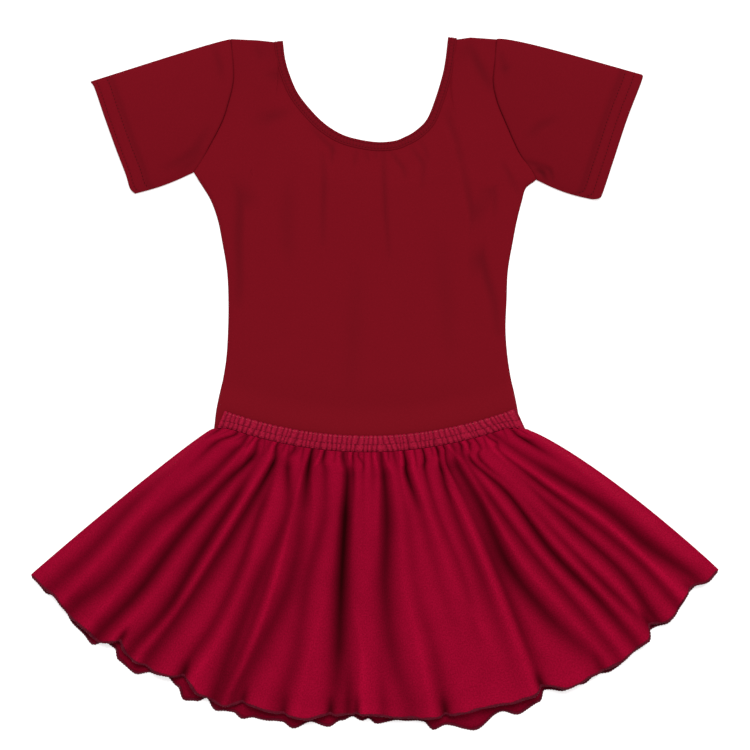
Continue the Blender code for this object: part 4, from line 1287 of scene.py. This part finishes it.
@dataclass
class Skirt:
    """The gathered skirt: a folded front over a flat back."""

    pattern: LeotardPattern
    right_x: float = -126.3
    left_x: float = 116.0
    end_drop: float = 7.0
    # Side edges: how far they bow, which way, how far along the skirt that is felt, and its form.
    right_bow: float = 2.3
    left_bow: float = 7.4
    right_way: tuple[float, float] = (-0.62, 0.78)
    left_way: tuple[float, float] = (0.58, 0.81)
    bow_reach: float = 0.28
    bow_power: float = 1.5
    bulge_lean: float = 0.75
    bulge_bluntness: float = 0.8
    hem_line: Table = (
        (-264.8, -148.2), (-238, -176), (-198, -207), (-142, -236), (-88, -252.5), (-35, -257.5),
        (19, -259), (73, -255), (127, -239), (173, -223), (208, -198.5), (236, -171), (264.5, -144.5),
    )
    hem_points: int = 400
    # Length along the skirt at its waist, and how much longer it is at the hem.
    top_length: float = 240.0
    flare: float = 370.0
    troughs: tuple[Trough, ...] = VALLEYS + CRESTS
    track_points: int = 60
    # Half width of a trough from waist to hem: slits between the gathers, then open folds.
    trough_widths: Table = ((0.0, 2.0), (0.1, 3.1), (0.26, 4.5), (0.6, 5.8), (1.0, 6.8))
    flank_power: float = 1.7
    # Troughs are sharper near the waist: by how much, and as far down as this level.
    waist_sharpness: float = 0.45
    waist_reach: float = 0.2
    # Folds flatten out towards the side edges.
    edge_fade: float = 0.03
    side_ease: float = 0.012
    # Short puckers under the casing: place, lean going down, depth and where each one ends.
    puckers: Table = (
        (0.060, -0.4, 0.3, 0.06), (0.108, -0.3, 0.35, 0.05), (0.141, 0.0, 0.5, 0.06),
        (0.179, 0.3, 0.4, 0.07), (0.254, 0.2, 0.4, 0.06), (0.283, -0.2, 0.25, 0.04),
        (0.298, 0.1, 0.55, 0.06), (0.345, 0.0, 0.35, 0.04), (0.397, 0.0, 0.45, 0.05),
        (0.436, 0.0, 0.3, 0.04), (0.486, 0.0, 0.5, 0.08), (0.525, 0.0, 0.3, 0.04),
        (0.561, -0.1, 0.5, 0.05), (0.594, 0.0, 0.25, 0.04), (0.643, -0.1, 0.55, 0.08),
        (0.696, -0.1, 0.4, 0.04), (0.857, -0.3, 0.45, 0.07), (0.918, -0.3, 0.4, 0.06),
        (0.966, 0.0, 0.5, 0.07),
    )
    fold_heights: Table = ((0.0, 2.4), (0.09, 5.0), (0.3, 8.0), (0.6, 8.6), (1.0, 8.0))
    # Puckers: width, how blunt their fading is, and how far the gathers sink between them.
    pucker_width: float = 0.0045
    pucker_fade: float = 0.5
    gather_height: float = 1.6
    # Where a trough pinches the front hem: place along it and how far it is drawn in.
    notches: Table = (
        (0.145, 0.009), (0.24, 0.009), (0.325, 0.007), (0.38, 0.006), (0.44, 0.009), (0.475, 0.007),
        (0.59, 0.008), (0.72, 0.009), (0.8, 0.004), (0.885, 0.008), (0.955, 0.004),
    )
    # Notches: width, level where they start, depth that counts as full, and what a full one takes off
    # the folds' height, adds as painted shade and draws in at the front.
    notch_width: float = 0.0055
    notch_level: float = 0.9
    notch_depth: float = 0.008
    notch_fall: float = 0.6
    painted_notch_shade: float = 0.7
    front_drawn: float = 0.9
    front_hem: Table = (
        (0.0, 1.0), (0.04, 0.986), (0.09, 1.0), (0.12, 1.006), (0.145, 0.968), (0.165, 0.99),
        (0.2, 0.993), (0.245, 0.972), (0.27, 1.0), (0.3, 1.016), (0.325, 0.988), (0.38, 0.997),
        (0.41, 1.008), (0.435, 0.99), (0.49, 0.978), (0.54, 0.994), (0.59, 0.998), (0.63, 0.982),
        (0.7, 1.0), (0.73, 0.982), (0.75, 1.004), (0.8, 0.998), (0.85, 1.004), (0.872, 1.006),
        (0.885, 0.972), (0.915, 1.004), (0.945, 0.986), (0.96, 0.976), (0.98, 1.0), (1.0, 1.0),
    )
    back_hem: Table = (
        (0.0, 1.0), (0.03, 1.003), (0.04, 0.991), (0.06, 1.0), (0.09, 1.02), (0.117, 1.034),
        (0.13, 0.997), (0.145, 1.0), (0.157, 1.03), (0.183, 1.044), (0.2, 1.005), (0.22, 0.997),
        (0.24, 1.011), (0.253, 1.048), (0.268, 1.036), (0.28, 1.012), (0.297, 1.042), (0.317, 1.026),
        (0.33, 1.046), (0.345, 1.034), (0.36, 1.035), (0.38, 1.027), (0.395, 1.048), (0.415, 1.022),
        (0.438, 1.038), (0.455, 1.008), (0.47, 0.991), (0.482, 1.005), (0.49, 0.996), (0.5, 1.015),
        (0.525, 1.004), (0.562, 1.01), (0.572, 1.044), (0.588, 1.028), (0.625, 1.064), (0.658, 1.022),
        (0.68, 1.048), (0.71, 1.034), (0.722, 0.996), (0.745, 1.018), (0.77, 1.014), (0.79, 1.002),
        (0.81, 1.016), (0.838, 1.006), (0.872, 1.014), (0.881, 0.98), (0.912, 1.014), (0.935, 0.992),
        (0.96, 0.983), (0.98, 1.008), (1.0, 1.003),
    )
    # Curl of the hems: level where it starts, wave out, stand up, and length and seed of the waves.
    curl_level: float = 0.955
    curl_out: float = 0.0045
    curl_stand: float = 0.8
    front_curl: tuple[float, int] = (9.0, 21)
    back_curl: tuple[float, int] = (8.0, 33)
    # How the front lies over the leotard, and how far beyond its edges it still does.
    rest_on_leotard: float = 3.2
    rim: float = 46.0
    rim_ease: float = 43.0
    # Painted shade: an even share over both cloths, leaving room for crests to be painted lighter, and more
    # on the back towards its hem, from a level over an easing.
    plain_tone: float = 0.14
    painted_back_hem_shade: float = 0.35
    back_hem_level: float = 0.93
    back_hem_ease: float = 0.05
    # The weave's size in metres, and the grids' sizes.
    weave: tuple[float, float] = (0.66, 0.22)
    columns: int = 400
    rows: int = 118
    back_rows: int = 60
    hem_ends: dict[Face, np.ndarray] = field(default_factory=dict)

    def fan(self, u: np.ndarray, v: np.ndarray) -> np.ndarray:
        """Plan points of the fanned-out skirt.

        Args:
            u: shares along the skirt from the wearer's right.
            v: shares of the way from waist to hem line.

        Returns:
            The points.
        """
        x = self.right_x + u * (self.left_x - self.right_x)
        y = self.pattern.waist_y(x, self.end_drop)
        hem = along_line(smooth_line(self.hem_line, self.hem_points), u)
        point = np.stack([x, y], axis=-1) * (1 - v)[..., None] + hem * v[..., None]
        bulge = np.sin(np.pi * np.clip(v, 0, 1) ** self.bulge_lean) ** self.bulge_bluntness
        sides = ((u, self.right_bow, self.right_way), (1 - u, self.left_bow, self.left_way))
        for from_edge, bow, way in sides:
            bowed = bow * bulge * np.clip(1 - from_edge / self.bow_reach, 0, 1) ** self.bow_power
            point = point + bowed[..., None] * np.array(way)
        return point

    def folds(self, u: np.ndarray, v: np.ndarray) -> tuple[np.ndarray, np.ndarray]:
        """Height of the folds and how deep in a trough each place is.

        Args:
            u: shares along the skirt.
            v: levels from waist to hem.

        Returns:
            Heights in millimetres, and depths up to 1, below 0 on a crest, which set the painted shade.
        """
        breadth = read_table(self.trough_widths, v) / (self.top_length + self.flare * v)
        sharper = 1 - self.waist_sharpness * ease(1 - v / self.waist_reach)
        share = np.ones(u.shape)
        for trough in self.troughs:
            track = smooth_line(tuple(zip(FOLD_LEVELS, trough.places)), self.track_points)
            away = u - np.interp(v, track[:, 0], track[:, 1])
            flank = np.where(away < 0, trough.nearer, trough.farther)
            depth = np.interp(v, FOLD_LEVELS, trough.depths)
            depth = np.sign(depth) * np.abs(depth) ** sharper
            share *= 1 - depth * np.exp(-np.abs(away / (breadth * flank)) ** self.flank_power)
        edge = ease(u / self.edge_fade) * ease((1 - u) / self.edge_fade)
        return read_table(self.fold_heights, v) * share * edge, 1 - share

    def between_puckers(self, u: np.ndarray, v: np.ndarray) -> np.ndarray:
        """How deep between the short puckers under the casing each place is.

        Args:
            u: shares along the skirt.
            v: levels from waist to hem.

        Returns:
            Depths from 0 to 1.
        """
        deep = np.zeros(u.shape)
        for place, lean, depth, end in self.puckers:
            away = u - place - lean * (v - FOLD_LEVELS[0])
            fade = np.clip(1 - v / end, 0, 1) ** self.pucker_fade
            deep = np.maximum(deep, depth * fade * np.exp(-(away / self.pucker_width) ** 2))
        return deep

    def hem_curl(self, u: np.ndarray, v: np.ndarray, period: float, seed: int) -> tuple:
        """The lettuce edge of a hem.

        Args:
            u: shares along the skirt.
            v: levels from waist to hem.
            period: length of its waves along the hem, in millimetres.
            seed: picks the waves.

        Returns:
            How far the notches draw the hem in, how far it waves out, both as shares of the skirt's
            length, and how far it stands up, in millimetres.
        """
        drawn = np.zeros(u.shape)
        for place, depth in self.notches:
            drawn += depth * np.exp(-((u - place) / self.notch_width) ** 2)
        along = u * (self.top_length + self.flare)
        edge = ease((v - self.curl_level) / (1 - self.curl_level))
        out = self.curl_out * soft_noise(along, period, seed) * edge
        lift = self.curl_stand * (1 + soft_noise(along, period, seed + 1)) * edge
        return drawn * ease((v - self.notch_level) / (1 - self.notch_level)), out, lift

    def over_leotard(self, x: np.ndarray, y: np.ndarray) -> np.ndarray:
        """How much higher the front lies where the leotard is under it.

        Args:
            x: places across.
            y: places along.

        Returns:
            Heights, in the shape of x.
        """
        edge_right, edge_left = self.pattern.edge_x(y, Side.RIGHT), self.pattern.edge_x(y, Side.LEFT)
        covered = 1.0
        for inside in (x - edge_right, edge_left - x, y - self.pattern.crotch_y):
            covered = covered * ease((inside + self.rim) / self.rim_ease)
        over_casing = self.pattern.back_height(x, y) - self.pattern.back_lift[-1][1]
        return covered * (self.rest_on_leotard + over_casing)

    def lay(self, face: Face, places: np.ndarray, chart: np.ndarray, painted_shade: np.ndarray,
            material: bpy.types.Material) -> bpy.types.Object:
        """Lay one of the two cloths, hem first.

        Args:
            face: which one.
            places: its points by row and column.
            chart: shares along and down, by row and column.
            painted_shade: its painted shade.
            material: the skirt's finish.

        Returns:
            The cloth.
        """
        name = f"skirt_{face.value}"
        self.hem_ends[face] = places[0]
        piece = lay_grid(name + "_cloth", places, chart * self.weave, painted_shade)
        grow_wall(piece, Growth.OUTWARD)
        finish_piece(piece, material, RASPBERRY.slot, name)
        return piece

    def build_front(self, material: bpy.types.Material) -> bpy.types.Object:
        """Make the folded front, with finer rows at both ends.

        Args:
            material: the skirt's finish.

        Returns:
            The front.
        """
        even = np.linspace(1, 0, self.rows)
        level = (even + (1 - np.cos(np.pi * even)) / 2) / 2
        u, level = np.meshgrid(np.linspace(0, 1, self.columns), level)
        drawn, out, lift = self.hem_curl(u, level, *self.front_curl)
        point = self.fan(u, level * read_table(self.front_hem, u) - self.front_drawn * drawn + out)
        height, painted_shade = self.folds(u, level)
        between = self.between_puckers(u, level)
        pinched = np.clip(drawn / self.notch_depth, 0, 1)
        edge = ease(u / self.side_ease) * ease((1 - u) / self.side_ease)
        low = WALL + SEAM_GAP + self.over_leotard(point[..., 0], point[..., 1])
        low = low + height * (1 - self.notch_fall * pinched)
        low = low + (lift - self.gather_height * between) * edge + CLOTH_LIFT
        # Painted shade: troughs, the gaps between puckers and the hem's notches darken the cloth, crests
        # lighten it.
        between = np.maximum(between, self.painted_notch_shade * pinched)
        painted_shade = self.plain_tone + (1 - self.plain_tone) * (painted_shade + between * (1 - painted_shade))
        return self.lay(Face.FRONT, np.dstack([point, low]), np.dstack([u, level]),
                        np.clip(painted_shade, 0, 1), material)

    def build_back(self, material: bpy.types.Material) -> bpy.types.Object:
        """Make the flat back with its waved hem.

        Args:
            material: the skirt's finish.

        Returns:
            The back.
        """
        u, level = np.meshgrid(np.linspace(0, 1, self.columns), np.linspace(1, 0, self.back_rows))
        out, lift = self.hem_curl(u, level, *self.back_curl)[1:]
        point = self.fan(u, level * read_table(self.back_hem, u) + out)
        # Painted shade, growing towards the back's hem.
        hem_tone = self.painted_back_hem_shade * ease((level - self.back_hem_level) / self.back_hem_ease)
        return self.lay(Face.BACK, np.dstack([point, FLOOR_LIFT + lift]), np.dstack([u, level]),
                        self.plain_tone + hem_tone, material)


@dataclass(frozen=True)
class Stitch:
    """One stitch of a row: its length, the pitch of the row and the thread's radius."""

    length: float
    pitch: float
    radius: float


SLEEVE_STITCH = Stitch(1.3, 2.6, 0.26)
NECK_STITCH = Stitch(1.2, 2.4, 0.18)
CASING_STITCH = Stitch(1.5, 2.9, 0.22)
CASING_LOW_STITCH = Stitch(1.2, 3.9, 0.22)
CASING_EDGE_STITCH = Stitch(1.3, 2.6, 0.2)


@dataclass
class SewnRow:
    """A row of stitches laid on a piece."""

    name: str
    path: np.ndarray
    stitch: Stitch
    # How far a thread's middle lies above the cloth, as a share of its radius, and the height that
    # it is dropped from.
    proud: float = 0.35
    drop: float = 200.0
    segments: int = 8
    rings: int = 5

    def model(self) -> bpy.types.Object:
        """One stitch, a ball drawn out along X.

        Returns:
            The stitch, at the origin.
        """
        deselect_all()
        bpy.ops.mesh.primitive_uv_sphere_add(segments=self.segments, ring_count=self.rings, radius=1.0)
        piece = bpy.context.object
        piece.name = self.name
        pick(piece)
        bpy.ops.object.mode_set(mode="EDIT")
        bpy.ops.mesh.select_all(action="SELECT")
        bpy.ops.transform.rotate(value=math.pi / 2, orient_axis="Y", center_override=(0, 0, 0))
        thick = self.stitch.radius * MM
        bpy.ops.transform.resize(value=(self.stitch.length / 2 * MM, thick, thick))
        bpy.ops.object.mode_set(mode="OBJECT")
        return piece

    def build(self, ground: BVHTree, material: bpy.types.Material, slot: str) -> bpy.types.Object:
        """Model one stitch and lay its copies along the path.

        Args:
            ground: the surface it is sewn on.
            material: the thread's finish.
            slot: the record's material slot.

        Returns:
            The row, one mesh.
        """
        piece = self.model()
        ball = np.array([vertex.co[:] for vertex in piece.data.vertices])
        faces = [tuple(face.vertices) for face in piece.data.polygons]
        whole = np.linalg.norm(np.diff(self.path, axis=0), axis=1).sum()
        count = max(2, int(whole / self.stitch.pitch))
        share = (np.arange(count) + 0.5) / count
        half = self.stitch.length / 2 / whole
        points, copies = [], []
        for ends in zip(along_line(self.path, share - half), along_line(self.path, share + half)):
            start, stop = (self._dropped(ground, end) for end in ends)
            if start is None or stop is None:
                continue
            turn = (stop - start).to_track_quat("X", "Z").to_matrix()
            base = len(points) * len(ball)
            points.append(ball @ np.array(turn).T + np.array((start + stop) / 2))
            copies += [tuple(index + base for index in face) for face in faces]
        mesh = bpy.data.meshes.new(self.name)
        mesh.from_pydata(np.vstack(points), [], copies)
        piece.data = mesh
        finish_piece(piece, material, slot)
        return piece

    def _dropped(self, ground: BVHTree, spot: np.ndarray) -> Vector | None:
        """The place on the ground under a plan spot, raised by part of the thread's radius."""
        hit = ground.ray_cast(Vector((*spot, self.drop)) * MM, Vector((0, 0, -1)))[0]
        return None if hit is None else hit + Vector((0, 0, self.stitch.radius * MM * self.proud))


@dataclass
class Overlock:
    """Rolled hem thread wrapped over the skirt's raw edge."""

    name: str
    edge: np.ndarray
    radius: float = 1.05
    flatness: float = 0.75
    lift: float = 0.5
    lowest: float = 0.02
    # Wraps of the thread: angle from one section to the next, how deep, and how uneven.
    wrap_angle: float = 2.1
    wrap_depth: float = 0.22
    wrap_wander: Wander = Wander(0.2, 9.0, 41)
    # Sections along the edge, of which the end ones taper, and sides round it.
    steps: int = 900
    taper: int = 3
    sides: int = 9

    def build(self, material: bpy.types.Material) -> bpy.types.Object:
        """Make the wrapped edge.

        Args:
            material: the thread's finish.

        Returns:
            The edge, one closed tube.
        """
        line = along_line(self.edge, np.linspace(0, 1, self.steps))
        line[:, 2] += self.lift
        run = np.gradient(line, axis=0)
        run /= np.linalg.norm(run, axis=1, keepdims=True)
        side = np.cross(run, np.array([0.0, 0.0, 1.0]))
        side /= np.linalg.norm(side, axis=1, keepdims=True)
        up = np.cross(side, run)
        step = np.arange(self.steps, dtype=float)
        wrap = 1 + self.wrap_depth * np.sin(step * self.wrap_angle) + self.wrap_wander.at(step)
        size = self.radius * wrap * np.clip(np.minimum(step, step[::-1]) / self.taper, 0, 1)
        angle = np.linspace(0, 2 * np.pi, self.sides + 1)
        across = np.cos(angle)[None, :, None] * side[:, None]
        above = self.flatness * np.sin(angle)[None, :, None] * up[:, None]
        ring = line[:, None] + size[:, None, None] * (across + above)
        ring[..., 2] = np.maximum(ring[..., 2], self.lowest)
        chart = np.stack(np.meshgrid(angle, step), axis=-1) * MM
        piece = lay_grid(self.name, ring, chart, np.zeros(ring.shape[:2]))
        close_seams(piece)
        finish_piece(piece, material, RASPBERRY.slot)
        return piece


@dataclass
class Studio:
    """Pale floor, soft light from beyond the neck, and a camera looking straight down."""

    # Width in metres that the picture shows at the garment's height, and the picture's centre.
    frame_width: float = 0.5775
    frame_height: float = 0.004
    frame_centre: tuple[float, float] = (0.0, 0.0054)
    lens: float = 85.0
    sensor: float = 36.0
    sky: float = 0.5
    # The window's strength and spread, and how it is tilted and turned, in degrees.
    window: float = 1.9
    window_spread: float = 26.0
    window_tilt: float = 32.0
    window_turn: float = -8.0
    floor_size: float = 8.0
    paper: Colour = (0.93, 0.93, 0.93, 1)
    paper_roughness: float = 0.9
    paper_glow: float = 0.5
    white: Colour = (1, 1, 1, 1)

    def lay_floor(self) -> None:
        """Lay the pale paper under the garment."""
        deselect_all()
        bpy.ops.mesh.primitive_plane_add(size=self.floor_size, location=(0, 0, 0))
        floor = bpy.context.object
        floor.name = "studio_floor"
        paper = bpy.data.materials.new("pale_paper")
        paper.use_nodes = True
        set_inputs(paper.node_tree, paper.node_tree.nodes["Principled BSDF"],
                   {"Base Color": self.paper, "Roughness": self.paper_roughness,
                    "Emission Color": self.white, "Emission Strength": self.paper_glow})
        floor.data.materials.append(paper)

    def light(self) -> None:
        """Light it from a white sky and one wide window."""
        world = bpy.data.worlds.new("soft_box")
        world.use_nodes = True
        set_inputs(world.node_tree, world.node_tree.nodes["Background"],
                   {"Color": self.white, "Strength": self.sky})
        bpy.context.scene.world = world
        lamp = bpy.data.lights.new("window", "SUN")
        lamp.energy = self.window
        lamp.angle = math.radians(self.window_spread)
        window = bpy.data.objects.new("window", lamp)
        window.rotation_euler = (-math.radians(self.window_tilt), 0, math.radians(self.window_turn))
        bpy.context.scene.collection.objects.link(window)

    def aim(self) -> None:
        """Set the camera straight above."""
        lens = bpy.data.cameras.new("overhead")
        lens.lens = self.lens
        lens.sensor_width = self.sensor
        camera = bpy.data.objects.new("overhead", lens)
        height = self.frame_width * self.lens / self.sensor + self.frame_height
        camera.location = (*self.frame_centre, height)
        bpy.context.scene.collection.objects.link(camera)
        bpy.context.scene.camera = camera
        bpy.context.scene.view_settings.view_transform = "Standard"

    def build(self) -> None:
        """Make the floor, the lights and the camera."""
        self.lay_floor()
        self.light()
        self.aim()


def ground_of(piece: bpy.types.Object) -> BVHTree:
    """The surface of a piece, to sew on."""
    faces = [tuple(face.vertices) for face in piece.data.polygons]
    return BVHTree.FromPolygons([vertex.co.copy() for vertex in piece.data.vertices], faces)


def sew(name: str, paths: list[np.ndarray], stitches: tuple[Stitch, ...], piece: bpy.types.Object,
        thread: bpy.types.Material, slot: str) -> list[bpy.types.Object]:
    """Sew numbered rows on a piece.

    Args:
        name: the rows' name, before the number.
        paths: a plan line for each row.
        stitches: the stitch of each row.
        piece: what they are sewn on.
        thread: the thread's finish.
        slot: the record's material slot.

    Returns:
        The rows.
    """
    ground = ground_of(piece)
    return [SewnRow(f"{name}_{number}", path, stitch).build(ground, thread, slot)
            for number, (path, stitch) in enumerate(zip(paths, stitches), 1)]


def right_sleeve_of(pattern: LeotardPattern) -> Sleeve:
    """The wearer's right sleeve, as it fell.

    Args:
        pattern: the leotard's outline.

    Returns:
        The sleeve, to be built.
    """
    return Sleeve(
        "right_sleeve", Side.RIGHT, pattern,
        cuff=((-185.2, 145.2), (-189.0, 149.4), (-192.2, 160.2), (-199.5, 179.4), (-208.4, 204.1),
              (-216.0, 226.0), (-219.6, 231.8)),
        top_bow=1.2, under_bow=1.6, hem_rows=(3.6, 12.0), shade=0.07,
        creases=(
            Crease(0.55, 3.6, (-160, 165), (-148, 171), (-138, 179), (-129, 194)),
            Crease(0.4, 3, (-150, 163), (-141, 168), (-134, 177)),
            Crease(0.45, 3.2, (-124, 258), (-120, 246), (-118, 234)),
        ))


def left_sleeve_of(pattern: LeotardPattern) -> Sleeve:
    """The wearer's left sleeve, as it fell, with the pucker at its underarm.

    Args:
        pattern: the leotard's outline.

    Returns:
        The sleeve, to be built.
    """
    return Sleeve(
        "left_sleeve", Side.LEFT, pattern,
        cuff=((167.6, 140.8), (173.4, 141.8), (176.0, 147.0), (183.2, 169.0), (194.4, 203.0),
              (205.8, 232.4), (206.2, 237.2)),
        top_bow=3.0, under_bow=2.0, hem_rows=(7.2, 14.2), shade=0.14,
        creases=(
            Crease(0.45, 3.6, (119, 190), (127, 197), (138, 202)),
            Crease(0.6, 2.4, (115, 170), (124, 167), (132, 160)),
            Crease(0.9, 1.8, (124, 163), (129, 161), (132, 155)),
            Crease(0.7, 1.8, (128, 167), (135, 163), (137, 155)),
            Crease(0.4, 3, (96, 255), (99, 246), (101, 236)),
            Crease(0.35, 2.4, (97, 240), (104, 243)),
        ))


def main() -> None:
    """Build and dress the garment, then set up the studio."""
    logging.basicConfig(level=logging.INFO, format="%(name)s %(message)s")
    groups = ShaderGroups()
    burgundy, raspberry = BURGUNDY.material(groups), RASPBERRY.material(groups)
    casing = CASING.material(groups)
    dark_thread = BURGUNDY_THREAD.material(groups)
    red_thread = RASPBERRY_THREAD.material(groups)
    hem_thread = HEM_THREAD.material(groups)
    pattern = LeotardPattern()

    skirt = Skirt(pattern)
    skirt_back = skirt.build_back(raspberry)
    skirt_front = skirt.build_front(raspberry)
    back_edge = Overlock("back_hem_overlock", skirt.hem_ends[Face.BACK]).build(hem_thread)
    front_edge = Overlock("front_hem_overlock", skirt.hem_ends[Face.FRONT]).build(hem_thread)

    panels = Bodice(pattern).build(burgundy)
    band = Waistband(pattern)
    band_back = band.build(Face.BACK, casing)
    band_front = band.build(Face.FRONT, casing)
    patterns = (right_sleeve_of(pattern), left_sleeve_of(pattern))
    sleeves = {sleeve.name: sleeve.build(burgundy) for sleeve in patterns}
    binding = NeckBinding(pattern)
    binding_piece = binding.build(burgundy)

    sewn = {sleeve.name: sew(f"{sleeve.name}_hem_stitches", sleeve.hem_paths(), (SLEEVE_STITCH,) * 2,
                             sleeves[sleeve.name], dark_thread, BURGUNDY.slot) for sleeve in patterns}
    sewn["neck"] = sew("neck_stitches", binding.stitch_paths(), (NECK_STITCH,) * 2, binding_piece,
                       dark_thread, BURGUNDY.slot)
    sewn["waist"] = sew("waistband_stitches", [band.row_path(row) for row in band.stitch_rows],
                        (CASING_STITCH, CASING_LOW_STITCH), band_front, red_thread, CASING.slot)
    edge_row = SewnRow("waistband_edge_stitches", band.row_path(band.edge_row), CASING_EDGE_STITCH)
    sewn["waist"].append(edge_row.build(ground_of(band_front), PALE_THREAD.material(groups), CASING.slot))

    Studio().build()


if __name__ == "__main__":
    main()
